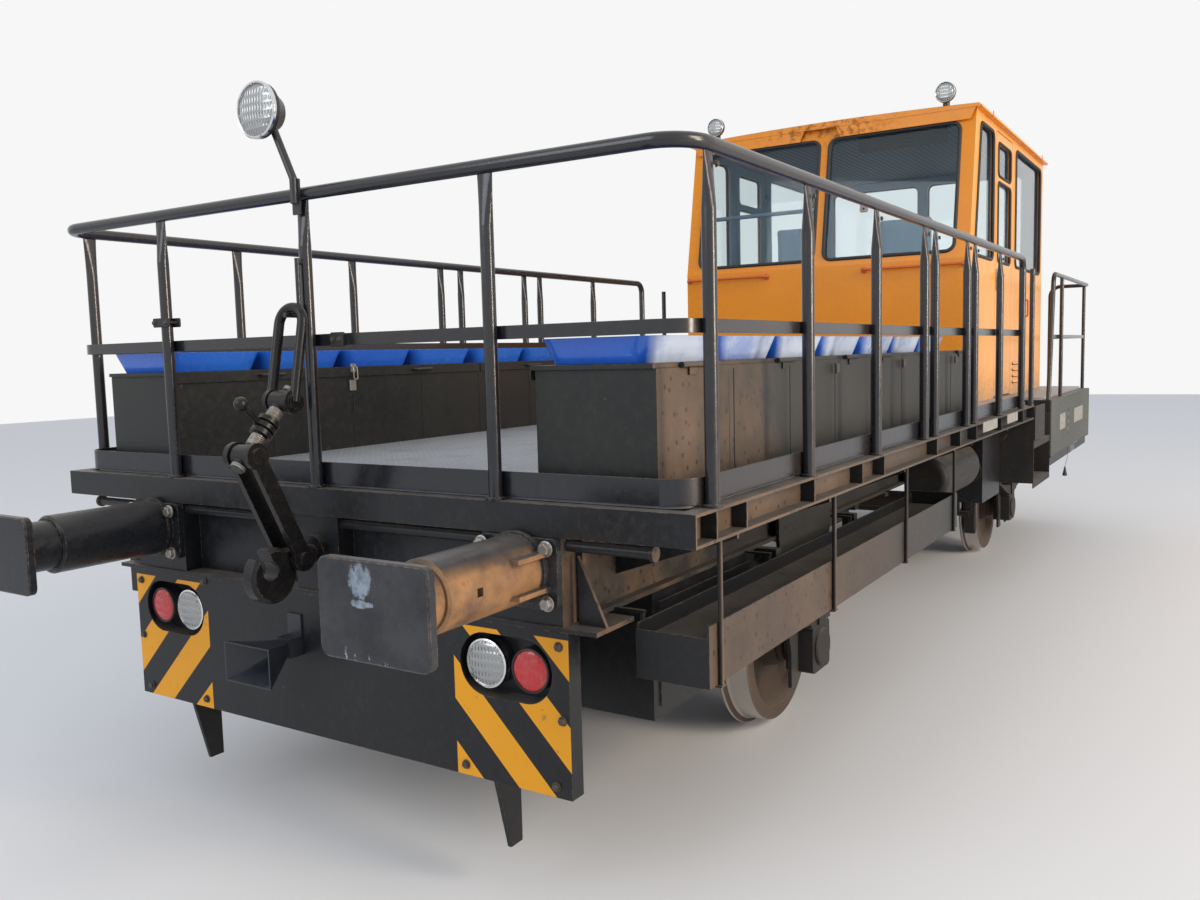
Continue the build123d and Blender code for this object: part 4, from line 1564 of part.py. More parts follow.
def brow_boards(x):
    """Boards under the roof's front edge with slanted ends, parted by a notch at the middle pillar."""
    low, high = CAB_EAVES_Z - BROW_BOARD_DROP, CAB_EAVES_Z + CUT
    boards = []
    for start, stop in ((-CAB_HALF_WIDTH, BROW_NOTCH[0]), (BROW_NOTCH[1], CAB_HALF_WIDTH)):
        outline = [(start, high), (stop, high), (stop - BROW_BOARD_SLANT, low), (start + BROW_BOARD_SLANT, low)]
        boards.append(cross_plate(outline, x + BROW_BOARD_THICKNESS / 2, BROW_BOARD_THICKNESS))
    return boards


def seat_cushions(x, y, width, seat_z, back_height):
    """Seat cushion with its underside at a height and back cushion standing on it, centred on (x, y)."""
    pad = Pos(x, y, seat_z + CUSHION_THICKNESS / 2) * Box(CAB_SEAT_DEPTH, width, CUSHION_THICKNESS)
    back_z = seat_z + CUSHION_THICKNESS + SEAT_GAP + back_height / 2
    back = Pos(x + (CAB_SEAT_DEPTH - CUSHION_THICKNESS) / 2, y, back_z) * Box(CUSHION_THICKNESS, width, back_height)
    return [fillet(pad.edges().filter_by(Axis.Z), CUSHION_CORNER), fillet(back.edges().filter_by(Axis.X), SEAT_CORNER)]


def seat_board(x, y, width, seat_z, back_height):
    """Board under the seat cushion and up behind the back cushion."""
    front, rear = x - CAB_SEAT_DEPTH / 2, x + CAB_SEAT_DEPTH / 2 + SEAT_GAP + SEAT_BOARD
    top = seat_z - SEAT_GAP
    return fuse([
        block(front, rear, y - width / 2, y + width / 2, top - SEAT_BOARD, top),
        block(rear - SEAT_BOARD, rear, y - width / 2, y + width / 2, top - SEAT_BOARD,
              top + back_height * SEAT_BOARD_SHARE),
    ])


def build_cab_seats():
    """Frames, then cushions, of two high driver's seats and of a crew bench at the rear."""
    frames, cushions = [], []
    x, seat_z = at(DRIVER_SEAT_STATION), FLOOR_TOP + DRIVER_SEAT_HEIGHT
    foot = FLOOR_TOP + SEAT_GAP
    for side in (-1, 1):
        y = side * DRIVER_SEAT_Y
        stand = rod((x, y, foot), (x, y, seat_z - SEAT_BOARD), SEAT_STAND_RADIUS)
        base = Pos(x, y, foot + SEAT_BASE_THICKNESS / 2) * Cylinder(SEAT_BASE_RADIUS, SEAT_BASE_THICKNESS)
        board = seat_board(x, y, CAB_SEAT_WIDTH, seat_z, DRIVER_BACK_HEIGHT)
        frames.append(fuse([stand, base, board]))
        cushions += seat_cushions(x, y, CAB_SEAT_WIDTH, seat_z, DRIVER_BACK_HEIGHT)
    x, seat_z = at(CREW_BENCH_STATION), FLOOR_TOP + CREW_SEAT_HEIGHT
    board = seat_board(x, 0, CREW_BENCH_WIDTH, seat_z, CREW_BACK_HEIGHT)
    box = block(x - CAB_SEAT_DEPTH / 2 + CUSHION_THICKNESS, x + CAB_SEAT_DEPTH / 2, -CREW_BENCH_WIDTH / 2,
                CREW_BENCH_WIDTH / 2, foot, seat_z - SEAT_BOARD)
    frames.append(fuse([board, box]))
    cushions += seat_cushions(x, 0, CREW_BENCH_WIDTH, seat_z, CREW_BACK_HEIGHT)
    return frames, cushions


def build_desk():
    """Driver's desk across the cab behind the windscreens."""
    x0 = at(CAB_START) + CAB_WALL
    top = FLOOR_TOP + DESK_HEIGHT
    outline = [(x0, FLOOR_TOP), (x0 + DESK_FOOT_DEPTH, FLOOR_TOP), (x0 + DESK_FOOT_DEPTH, top - DESK_KNEE_DROP),
               (x0 + DESK_DEPTH, top - DESK_EDGE_DROP), (x0 + DESK_TOP_DEPTH, top), (x0, top + DESK_RISE)]
    return side_plate(outline, 0, 2 * (CAB_HALF_WIDTH - CAB_WALL) - 2 * DESK_SIDE_GAP)


def build_side_panel():
    """Deep edge panel beside the cab with a striped lower band."""
    y = DECK_HALF_WIDTH
    x0, x1 = at(STEP_END), -at(0)
    panel = block(x0, x1, -y - PANEL_THICKNESS, -y - SEAT_GAP, DECK_Z - PANEL_DEPTH, DECK_Z)
    band = block(x0, x1, -y + STRIPE_SET_BACK, -y + STRIPE_SET_BACK + PANEL_THICKNESS,
                 DECK_Z - PANEL_DEPTH - STRIPE_DEPTH, EDGE_BOTTOM - SEAT_GAP)
    link = block(x0, x1, -y - PANEL_THICKNESS, -y + STRIPE_SET_BACK + PANEL_THICKNESS,
                 DECK_Z - PANEL_DEPTH - PANEL_THICKNESS, DECK_Z - PANEL_DEPTH)
    end = block(x0, x0 + PANEL_THICKNESS, -y - PANEL_THICKNESS, -STEP_INNER_Y - EDGE_WEB,
                DECK_Z - PANEL_DEPTH, EDGE_BOTTOM - SEAT_GAP)
    return fuse([panel, band, link, end])


def build_steps():
    """Entry steps between cheeks beside the cab door."""
    outer = DECK_HALF_WIDTH
    x0, x1 = at(STEP_START), at(STEP_END)
    parts = []
    for x in (x0, x1 - STEP_CHEEK):
        parts.append(block(x, x + STEP_CHEEK, -outer, -STEP_INNER_Y, STEP_Z[-1], EDGE_BOTTOM - SEAT_GAP))
    parts.append(block(x0, x0 + STEP_BAND, -outer - STEP_CHEEK, -outer, EDGE_BOTTOM - STEP_BAND_DEPTH,
                       DECK_Z - EDGE_LIP))
    for z in STEP_Z:
        parts.append(block(x0, x1, -outer, -STEP_INNER_Y, z, z + STEP_THICKNESS))
        parts.append(block(x0, x1, -outer, -outer + STEP_THICKNESS, z - STEP_NOSE, z + STEP_THICKNESS))
    parts.append(block(x0, x1, -STEP_INNER_Y - STEP_CHEEK, -STEP_INNER_Y, STEP_Z[-1], EDGE_BOTTOM - SEAT_GAP))
    return fuse(parts)


def both_sides(shapes):
    """Right-hand shapes with their left-hand copies."""
    return shapes + [other_side(shape) for shape in shapes]


def build_all():
    """Every sub-part under its node name."""
    node("main_frame", build_main_frame())
    trough, rods = build_trough()
    node("outriggers", build_outriggers() + both_sides(rods))
    node("deck_edge_frame", build_deck_edge())
    node("deck_floor", build_floor())
    skirt = build_end_skirt()
    node("end_skirts", [skirt, other_end(skirt)])
    node("marker_lamps", build_marker_lamps())
    node("buffers", four_corners(build_buffer()))
    hook = build_hook()
    node("draw_hooks", [hook, other_end(hook)])
    coupling = build_coupling()
    node("coupling_front", [coupling])
    node("coupling_rear", [other_end(coupling)])
    node("leaf_springs", four_corners(build_leaf_spring()))
    node("axle_boxes", four_corners(build_axle_box()))
    node("wheelset_front", [build_wheelset(AXLE_STATION)])
    node("wheelset_rear", [build_wheelset(FAR_AXLE)])
    node("brake_gear", [build_brake(AXLE_STATION, 1), build_brake(FAR_AXLE, -1)])
    node("tool_troughs", both_sides([trough]))
    node("equipment_boxes", build_boxes())
    node("tanks", build_tanks())
    node("engine_block", [build_engine()])
    walk = build_walk_railing()
    entry = build_entry_post()
    top_rail, posts, bars = build_deck_railing()
    node("top_rail", [top_rail])
    node("railing_posts", posts)
    node("railing_bars", bars)
    node("walkway_railings", both_sides([walk, entry]) + [build_rear_stanchion()])
    node("work_lamps", build_work_lamps())
    node("horn", [build_horn()])
    for side, turn in (("right", lambda shape: shape), ("left", other_side)):
        node("bench_box_" + side, [turn(build_bench())])
        for where in LID_FREE_END:
            node("lid_" + side + "_" + where, [turn(build_lid(where))])
            node("seats_" + side + "_" + where, [turn(seat) for seat in build_seats(where)])
        wall = fuse([build_cab_side()] + build_door_brackets())
        node("cab_side_" + side, [turn(wall)])
        node("cab_door_" + side, [turn(build_door())])
        node("door_glass_" + side, [turn(pane) for pane in build_door_glass()])
    node("cab_front", [build_cab_front()])
    node("cab_rear", [build_cab_rear()])
    node("cab_roof", [build_roof()])
    node("cab_glass", build_glass())
    frames, cushions = build_cab_seats()
    node("cab_seat_frames", frames)
    node("cab_cushions", cushions)
    node("driver_desk", [build_desk()])
    node("side_panels", both_sides([build_side_panel()]))
    node("entry_steps", both_sides([build_steps()]))


build_all()
os.makedirs("parts", exist_ok=True)
for name, shape in NODES.items():
    export_step(shape, "parts/" + name + ".step")
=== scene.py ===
import json
import math
import random

import bmesh
import bpy
from mathutils import Matrix, Vector


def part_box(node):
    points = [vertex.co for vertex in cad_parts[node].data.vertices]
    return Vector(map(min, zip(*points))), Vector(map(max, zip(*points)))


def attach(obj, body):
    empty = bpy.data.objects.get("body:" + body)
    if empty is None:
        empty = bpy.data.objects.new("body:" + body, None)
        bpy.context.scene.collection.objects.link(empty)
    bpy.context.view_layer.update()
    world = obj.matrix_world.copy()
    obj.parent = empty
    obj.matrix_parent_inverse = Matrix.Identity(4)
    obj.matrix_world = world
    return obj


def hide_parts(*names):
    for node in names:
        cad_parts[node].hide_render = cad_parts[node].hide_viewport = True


# Paint, dust, glass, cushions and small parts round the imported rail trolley, in metres, +X to the cab end
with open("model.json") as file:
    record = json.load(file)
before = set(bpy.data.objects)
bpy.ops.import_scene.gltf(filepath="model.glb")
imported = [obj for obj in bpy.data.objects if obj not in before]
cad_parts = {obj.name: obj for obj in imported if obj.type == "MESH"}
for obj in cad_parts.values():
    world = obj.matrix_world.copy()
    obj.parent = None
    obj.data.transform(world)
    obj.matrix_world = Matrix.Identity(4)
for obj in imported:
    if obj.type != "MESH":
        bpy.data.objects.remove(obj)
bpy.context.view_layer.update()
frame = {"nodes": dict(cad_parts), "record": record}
NODES = frame["nodes"]
DICE = random.Random(7)
VEHICLE = "vehicle"
SIDES = (("right", -1), ("left", 1))


def low(node):
    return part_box(node)[0]


def high(node):
    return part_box(node)[1]


# Driving places, read from the frame
DECK_FRONT = low("deck_edge_frame").x
DECK_REAR = high("deck_edge_frame").x
DECK_SIDE = high("deck_edge_frame").y
DECK_TOP = high("deck_edge_frame").z
FLOOR_TOP = high("deck_floor").z
CAB_SIDE = high("cab_front").y
CAB_FRONT = low("cab_front").x
CAB_REAR = high("cab_rear").x
EAVES = high("cab_front").z
WALL = high("cab_rear").x - low("cab_rear").x
RAKE = high("cab_front").x - low("cab_front").x - WALL
WAIST = DECK_TOP + 1.03
SCREEN_BOTTOM = WAIST + 0.048
SCREEN_TOP = EAVES - 0.084
BENCH_TOP = high("bench_box_right").z
BENCH_INNER = -high("bench_box_right").y
BENCH_OUTER = -low("bench_box_right").y
BENCH_FRONT = low("bench_box_right").x
BENCH_REAR = high("bench_box_right").x
RAIL_TOP = high("top_rail").z
AXLE_X = (low("wheelset_rear").x + high("wheelset_rear").x) / 2
AXLE_Z = (low("wheelset_rear").z + high("wheelset_rear").z) / 2
SKIRT_TOP = high("end_skirts").z
LAMP_Z = (low("marker_lamps").z + high("marker_lamps").z) / 2
ENDS = (("front", DECK_FRONT, -1), ("rear", DECK_REAR, 1))


def at(station):
    """X of a distance from the open end's beam."""
    return DECK_FRONT + station


def face_x(z):
    """X of the cab front's outer face at a height."""
    return CAB_FRONT + RAKE * max(0.0, (z - WAIST) / (EAVES - WAIST))


def linked(name, data):
    """New object in the scene."""
    made = bpy.data.objects.new(name, data)
    bpy.context.scene.collection.objects.link(made)
    return made


# Camera, solved from the photograph
CAMERA_PLACE = (-6.417, -2.662, 1.698)
CAMERA_YAW = math.radians(32.425)
CAMERA_PITCH = math.radians(-5.409)
CAMERA_ROLL = math.radians(-1.445)
CAMERA_LENS = 30.27
CAMERA_SENSOR = 36.0
CAMERA_REACH = 200.0


def build_camera():
    data = bpy.data.cameras.new("camera")
    data.lens = CAMERA_LENS
    data.sensor_width = CAMERA_SENSOR
    data.clip_end = CAMERA_REACH
    ahead = Vector((math.cos(CAMERA_PITCH) * math.cos(CAMERA_YAW),
                    math.cos(CAMERA_PITCH) * math.sin(CAMERA_YAW), math.sin(CAMERA_PITCH)))
    right = Vector((math.sin(CAMERA_YAW), -math.cos(CAMERA_YAW), 0.0))
    down = ahead.cross(right)
    rolled_right = right * math.cos(CAMERA_ROLL) - down * math.sin(CAMERA_ROLL)
    rolled_down = right * math.sin(CAMERA_ROLL) + down * math.cos(CAMERA_ROLL)
    matrix = Matrix((rolled_right, -rolled_down, -ahead)).transposed().to_4x4()
    matrix.translation = Vector(CAMERA_PLACE)
    camera = linked("camera", data)
    camera.matrix_world = matrix
    bpy.context.scene.camera = camera


class Shader:
    """Node material under construction. Each call adds nodes and returns the socket asked for."""

    def __init__(self, name):
        self.material = bpy.data.materials.new(name)
        self.material.use_nodes = True
        self.tree = self.material.node_tree
        self.bsdf = self.tree.nodes["Principled BSDF"]
        coords = self.add("TexCoord").outputs
        self.place = coords["Object"]
        self.axes = self.add("SeparateXYZ", {0: self.place}).outputs
        self.facing = self.add("SeparateXYZ", {0: coords["Normal"]}).outputs

    def add(self, kind, sockets=(), **settings):
        node = self.tree.nodes.new("ShaderNode" + kind)
        for key, value in settings.items():
            setattr(node, key, value)
        for key, value in dict(sockets).items():
            self.feed(node.inputs[key], value)
        return node

    def feed(self, socket, value):
        if isinstance(value, bpy.types.NodeSocket):
            self.tree.links.new(value, socket)
        elif socket.type == "RGBA":
            socket.default_value = (*value, 1.0)
        else:
            socket.default_value = value

    def noise(self, scale, detail=4.0, rough=0.6, stretch=None):
        place = self.place
        if stretch:
            place = self.add("Mapping", {"Vector": place, "Scale": stretch}).outputs[0]
        sockets = {"Vector": place, "Scale": scale, "Detail": detail, "Roughness": rough}
        return self.add("TexNoise", sockets).outputs["Fac"]

    def spots(self, scale):
        """Distance to the nearest of many scattered points."""
        return self.add("TexVoronoi", {"Vector": self.place, "Scale": scale}).outputs["Distance"]

    def ramp(self, value, start, end, first=0.0, last=1.0):
        """Straight change from a first to a last number while a value goes from start to end."""
        limits = {"From Min": start, "From Max": end, "To Min": first, "To Max": last}
        return self.add("MapRange", {"Value": value, **limits}).outputs[0]

    def patches(self, grain, *limits):
        """Cloudy mask: a noise of a grain (scale, detail, roughness, stretch), cut between limits."""
        return self.ramp(self.noise(*grain), *limits)

    def wave(self, axis, turns, start=-1.0, end=1.0):
        """Even ripples along an axis."""
        return self.ramp(self.math("SINE", self.math("MULTIPLY", self.axes[axis], turns)), start, end)

    def math(self, operation, a, b=0.0, clamp=False):
        return self.add("Math", {0: a, 1: b}, operation=operation, use_clamp=clamp).outputs[0]

    def product(self, *values):
        result = values[0]
        for value in values[1:]:
            result = self.math("MULTIPLY", result, value)
        return result

    def size(self, value):
        return self.math("ABSOLUTE", value)

    def between(self, share, first, second):
        return self.add("Mix", {0: share, 2: first, 3: second}).outputs[0]

    def mix(self, share, first, second):
        return self.add("Mix", {0: share, 6: first, 7: second}, data_type="RGBA").outputs[2]

    def upward(self):
        """Mask of faces that look up."""
        return self.ramp(self.facing["Z"], 0.55, 0.97)

    def sideways(self, beyond=0.0, blur=0.02):
        """Mask of faces that look to the sides, from a distance from the middle on."""
        looks = self.ramp(self.size(self.facing["Y"]), 0.55, 0.9)
        return self.product(looks, self.ramp(self.size(self.axes["Y"]), beyond - blur, beyond + blur))

    def bevel(self, radius):
        """Normals softened over the edges of a piece."""
        return self.add("Bevel", {"Radius": radius}, samples=4).outputs[0]

    def edges(self, radius):
        """Mask along the edges of a piece."""
        true = self.add("NewGeometry").outputs["Normal"]
        dot = self.add("VectorMath", {0: self.bevel(radius), 1: true}, operation="DOT_PRODUCT")
        return self.ramp(dot.outputs["Value"], 0.98, 0.94)

    def finish(self, colour, roughness, bump=None, depth=0.001, round_edges=0.0, **sockets):
        """Feed the shader's own sockets, with small bumps over softened edges."""
        for key, value in dict(sockets, Base_Color=colour, Roughness=roughness).items():
            self.feed(self.bsdf.inputs[key.replace("_", " ")], value)
        normal = self.bevel(round_edges) if round_edges else None
        if bump is not None:
            node = self.add("Bump", {"Height": bump, "Distance": depth, "Strength": 1.0})
            if normal is not None:
                self.feed(node.inputs["Normal"], normal)
            normal = node.outputs[0]
        if normal is not None:
            self.feed(self.bsdf.inputs["Normal"], normal)
        return self.material


DUST = (0.34, 0.3, 0.25)
# The tan is dirt on the deck plate and painted sunlight on side dust; the ash is painted shade on side dust
TAN_DIRT_AND_SUNLIGHT = (0.2, 0.128, 0.08)
ASH_SHADE = (0.052, 0.051, 0.046)
RUST = (0.2, 0.075, 0.03)
BARE = (0.3, 0.31, 0.33)
WHITE = (0.8, 0.8, 0.78)
BROWN = (0.22, 0.16, 0.11)


class Paint(Shader):
    """Weathered gloss paint, built up coat by coat: colour, marks, dust, painted sunlight and shade on the
    sides, worn edges, rust.
    """

    def __init__(self, name, colour, shade, rough=(0.3, 0.55)):
        super().__init__(name)
        self.broad = self.noise(1.7, 5.0, 0.62)
        self.fine = self.noise(38.0, 6.0, 0.68)
        self.tone = self.mix(self.ramp(self.broad, 0.3, 0.72), colour, shade)
        self.gloss = self.ramp(self.fine, 0.3, 0.75, *rough)

    def cover(self, mask, colour, roughness=None):
        """Lay a colour over the coats so far where the mask says."""
        self.tone = self.mix(mask, self.tone, colour)
        if roughness is not None:
            self.gloss = self.between(mask, self.gloss, roughness)
        return self

    def dusty(self, amount, colour=DUST):
        """Dust on faces that look up, and a thin haze on all others."""
        lying = self.product(self.upward(), self.patches((9.0, 6.0, 0.7), 0.25, 0.75, 0.35 * amount, amount))
        settled = self.ramp(self.fine, 0.5, 0.85, 0.0, 0.12 * amount)
        return self.cover(self.math("ADD", lying, settled, clamp=True), colour, 0.75)

    def side_dust_and_sunlight(self, amount, beyond=0.0, sunlight_fades=(0.6, 2.4)):
        """Dust with rain spots on faces that look to the sides, coloured tan near the open end as painted
        sunlight and ashen farther on as painted shade.
        """
        drops = self.ramp(self.spots(26.0), 0.12, 0.26, 0.25, 1.0)
        cloud = self.patches((4.0, 7.0, 0.7), 0.28, 0.7, 0.45, 1.0)
        where = self.product(self.sideways(beyond), drops, cloud, amount)
        # Going away from the open end, the side dust turns from painted sunlit tan to painted shaded ash
        from_end = self.math("SUBTRACT", self.axes["X"], DECK_FRONT)
        ragged = self.math("ADD", from_end, self.ramp(self.broad, 0.3, 0.7, -0.5, 0.5))
        return self.cover(where, self.mix(self.ramp(ragged, *sunlight_fades, 1.0, 0.0), ASH_SHADE, TAN_DIRT_AND_SUNLIGHT), 0.6)

    def worn(self, amount, colour=BARE):
        """Chipped edges."""
        chips = self.product(self.edges(0.004), self.patches((55.0, 5.0, 0.7), 0.48, 0.62, 0.0, amount))
        return self.cover(chips, colour, 0.5)

    def rusty(self, amount):
        """Rust spots."""
        spots = self.patches((14.0, 8.0, 0.75), 0.66 - 0.08 * amount, 0.74 - 0.06 * amount)
        return self.cover(spots, RUST, 0.85)

    def done(self, depth=0.0004, specular=0.3):
        return self.finish(self.tone, self.gloss, bump=self.fine, depth=depth, round_edges=0.0025,
                           Specular_IOR_Level=specular)


def black_paint(name, colour=(0.007, 0.008, 0.011), shade=(0.016, 0.016, 0.017), rough=(0.28, 0.5),
                dust=0.5, side_dust_and_sunlight=0.0, beyond=0.0, sunlight_fades=(0.6, 2.4), wear=0.6, worn=BROWN, rust=0.0,
                specular=0.3):
    paint = Paint(name, colour, shade, rough).side_dust_and_sunlight(side_dust_and_sunlight, beyond, sunlight_fades).dusty(dust).worn(wear, worn)
    if rust:
        paint.rusty(rust)
    return paint.done(specular=specular)


# Cab paint: dirt over the floor, crease rust under the eaves, behind the face and from the middle, and
# how deep in the walls the lining begins
DIRT_HEIGHTS = (0.26, 0.04)
CREASE_DROPS = (0.16, 0.06)
CREASE_DEPTH = 0.1
CREASE_REACH = (0.62, 0.2)
LINING_SHARES = (0.45, 0.55)


def cab_paint():
    """Orange outside, lighter on the sides as painted sunlight, with dirt at the foot and rust at the roof's
    front crease, blue lining inside with a darker striped ceiling as painted shade.
    """
    paint = Paint("cab_orange", (0.8, 0.27, 0.006), (0.72, 0.23, 0.006), (0.2, 0.36))
    x, y, z = (paint.axes[axis] for axis in "XYZ")
    across = paint.size(y)
    # Lighter orange on faces that look to the sides: painted sunlight
    sunlit_sides = paint.product(paint.sideways(), paint.ramp(paint.broad, 0.25, 0.75, 0.45, 0.75))
    paint.cover(sunlit_sides, (0.88, 0.4, 0.055), 0.32)
    height = paint.math("ADD", z, paint.patches((16.0, 8.0, 0.75), 0.3, 0.7, -0.1, 0.16))
    splashed = paint.ramp(height, *(FLOOR_TOP + rise for rise in DIRT_HEIGHTS), 0.0, 0.85)
    dirt = paint.product(splashed, paint.ramp(paint.fine, 0.32, 0.58))
    streaks = paint.product(paint.patches((5.0, 3.0, 0.5, (1.0, 1.0, 0.1)), 0.55, 0.75, 0.0, 0.16),
                            paint.ramp(z, EAVES, WAIST, 0.4, 1.0))
    paint.cover(dirt, DUST, 0.8).cover(streaks, (0.42, 0.17, 0.05))
    paint.dusty(0.14).worn(0.3, (0.3, 0.11, 0.05))
    crease = paint.product(paint.ramp(z, *(EAVES - drop for drop in CREASE_DROPS)),
                           paint.ramp(x, face_x(EAVES) + CREASE_DEPTH, face_x(EAVES)),
                           paint.ramp(across, *CREASE_REACH))
    rust = paint.product(crease, paint.patches((22.0, 7.0, 0.75), 0.49, 0.6, 0.0, 0.9))
    paint.cover(rust, (0.28, 0.1, 0.03), 0.85)
    slope = paint.ramp(z, WAIST, EAVES, CAB_FRONT, CAB_FRONT + RAKE)
    depths = [WALL * share for share in LINING_SHARES]
    inside = paint.product(paint.ramp(paint.math("SUBTRACT", x, slope), *depths),
                           paint.ramp(x, *(CAB_REAR - depth for depth in depths)),
                           paint.ramp(across, *(CAB_SIDE - depth for depth in depths)),
                           paint.ramp(z, EAVES + 0.006, EAVES + 0.004))
    lining = paint.mix(paint.ramp(paint.broad, 0.3, 0.7), (0.17, 0.29, 0.41), (0.13, 0.24, 0.35))
    # Inside faces that look down take a darker blue with near-black stripes: painted shade on the ceiling and
    # between its slats
    shaded_ceiling = paint.mix(paint.wave("Y", 120.0, 0.5, 0.95), (0.13, 0.2, 0.28), (0.05, 0.08, 0.12))
    paint.cover(inside, paint.mix(paint.ramp(paint.facing["Z"], -0.5, -0.8), lining, shaded_ceiling), 0.6)
    return paint.done(depth=0.00012)


# Slanted warning stripes on the skirts, on each side from one distance from the middle to another
STRIPE_PITCH = 0.277
STRIPE_ORIGIN = 1.1
STRIPE_FIELD = (0.605, 1.041)
STRIPE_FOOT = 0.39
STRIPE_EDGE = 0.001


def skirt_paint():
    """Black skirts with orange-yellow stripes on their outer faces, scuffed and dusty."""
    paint = Paint("skirt_striped", (0.008, 0.009, 0.011), (0.015, 0.015, 0.016), (0.26, 0.45))
    across, z = paint.size(paint.axes["Y"]), paint.axes["Z"]
    rise = paint.math("SUBTRACT", paint.math("ADD", across, z), STRIPE_ORIGIN)
    turn = paint.math("FRACT", paint.math("DIVIDE", rise, STRIPE_PITCH))
    bright = paint.product(paint.ramp(turn, 0.495, 0.505),
                           paint.ramp(across, STRIPE_FIELD[0] - STRIPE_EDGE, STRIPE_FIELD[0]),
                           paint.ramp(across, STRIPE_FIELD[1] + STRIPE_EDGE, STRIPE_FIELD[1]),
                           paint.ramp(z, STRIPE_FOOT, STRIPE_FOOT + STRIPE_EDGE),
                           paint.ramp(paint.size(paint.facing["X"]), 0.85, 0.9),
                           paint.ramp(z, SKIRT_TOP - 0.02, SKIRT_TOP - 0.022),
                           paint.ramp(paint.size(paint.axes["X"]), DECK_REAR - 0.004, DECK_REAR - 0.002))
    paint.cover(bright, (0.8, 0.34, 0.01), 0.4)
    paint.cover(paint.patches((24.0, 8.0, 0.75), 0.6, 0.68, 0.0, 0.45), (0.05, 0.042, 0.035), 0.7)
    return paint.dusty(0.35).worn(0.7, (0.24, 0.14, 0.08)).rusty(0.15).done()


# Raised bars of the chequered deck plate
CHECKER_CELL = 0.032
CHECKER_LONG = 1.25
CHECKER_THIN = 5.2


def deck_paint():
    """Grey plate with raised bars, set crosswise by turns."""
    paint = Paint("deck_plate", (0.27, 0.29, 0.31), (0.34, 0.35, 0.36), (0.35, 0.6))
    steps = [paint.math("DIVIDE", paint.axes[axis], CHECKER_CELL) for axis in "XY"]
    crosswise = paint.math("PINGPONG", paint.math("ADD", *(paint.math("FLOOR", step) for step in steps)), 1.0)
    near = [paint.math("SUBTRACT", paint.math("FRACT", step), 0.5) for step in steps]
    along = paint.size(paint.math("ADD", *near))
    across = paint.size(paint.math("SUBTRACT", *near))
    length = paint.product(paint.between(crosswise, along, across), CHECKER_LONG)
    width = paint.product(paint.between(crosswise, across, along), CHECKER_THIN)
    bars = paint.product(paint.ramp(paint.math("ADD", length, width), 0.95, 0.7), paint.upward())
    paint.cover(paint.product(bars, 0.7), (0.56, 0.57, 0.58), 0.35)
    paint.cover(paint.patches((3.0, 7.0, 0.7), 0.52, 0.72, 0.0, 0.55), (0.13, 0.13, 0.13), 0.6)
    paint.cover(paint.patches((11.0, 8.0, 0.75), 0.55, 0.75, 0.0, 0.5), TAN_DIRT_AND_SUNLIGHT, 0.8).worn(0.5)
    height = paint.math("ADD", bars, paint.product(paint.fine, 0.15))
    return paint.finish(paint.tone, paint.gloss, bump=height, depth=0.0018, round_edges=0.002)


# Pale chips on the struck buffer plate: middle across and up, half width and half height
CHIPS = ((-0.841, 1.154, 0.04, 0.042), (-0.84, 1.097, 0.036, 0.01))
# Where the struck buffer's plate, sleeve and base change colour, out from the beam, and the scratches' height
PLATE_OUT = (0.58, 0.6)
SLEEVE_OUT = (0.53, 0.5)
BASE_OUT = (0.034, 0.038)
SCRATCH_HEIGHTS = (1.0, 0.96)


def buffer_paint():
    """Graphite with pale chips and a dusty sleeve on the right front buffer, its flank that faces the right
    painted warm brown as dust and painted sunlight, near black elsewhere.
    """
    paint = Paint("buffer_paint", (0.008, 0.01, 0.014), (0.016, 0.017, 0.02), (0.2, 0.42))
    x, y, z = (paint.axes[axis] for axis in "XYZ")
    on_plate, sleeve, base = (paint.ramp(x, *(DECK_FRONT - out for out in outs))
                              for outs in (PLATE_OUT, SLEEVE_OUT, BASE_OUT))
    struck = paint.product(paint.ramp(y, -0.3, -0.4), paint.ramp(x, 0.0, -0.1))
    smoky = paint.product(struck, paint.patches((5.0, 6.0, 0.7), 0.4, 0.6, 0.25, 0.9))
    paint.cover(smoky, (0.05, 0.05, 0.054))
    ragged = paint.patches((46.0, 8.0, 0.8, (1.0, 1.0, 0.55)), 0.28, 0.72, -1.1, 1.1)
    rubbed = paint.ramp(paint.fine, 0.35, 0.62, 0.35, 0.9)
    for across, up, half_across, half_up in CHIPS:
        reach = [paint.math("DIVIDE", paint.math("SUBTRACT", value, middle), half)
                 for value, middle, half in ((y, across, half_across), (z, up, half_up))]
        square = paint.math("ADD", *(paint.product(share, share) for share in reach))
        inside = paint.ramp(paint.math("ADD", square, ragged), 1.1, 0.75)
        paint.cover(paint.product(inside, on_plate, rubbed), (0.3, 0.36, 0.42), 0.45)
    scratches = paint.patches((30.0, 8.0, 0.7, (1.0, 1.0, 0.5)), 0.62, 0.66)
    foot = paint.ramp(z, *SCRATCH_HEIGHTS)
    paint.cover(paint.product(struck, scratches, foot, on_plate), (0.3, 0.33, 0.38), 0.5)
    # Warm brown on the struck sleeve's flank that faces the right: dust with painted sunlight
    dust = paint.patches((7.0, 7.0, 0.7), 0.3, 0.6, 0.2, 0.95)
    sunlit_flank = paint.product(paint.ramp(paint.facing["Z"], 0.8, 0.45), paint.ramp(paint.facing["Y"], 0.5, -0.2))
    paint.cover(paint.product(struck, sleeve, dust, sunlit_flank, base), (0.36, 0.19, 0.085), 0.5)
    return paint.dusty(0.2).worn(0.9, (0.34, 0.22, 0.13)).rusty(0.2).done()


# Thin white strokes on the lower band of the side panels: stations, half width, slant and middle's depth
STROKES = (7.2, 7.28, 7.36)
STROKE_HALF = 0.006
STROKE_SLANT = 0.6
STROKE_DROP = 0.5
BAND_DROPS = (0.425, 0.43)


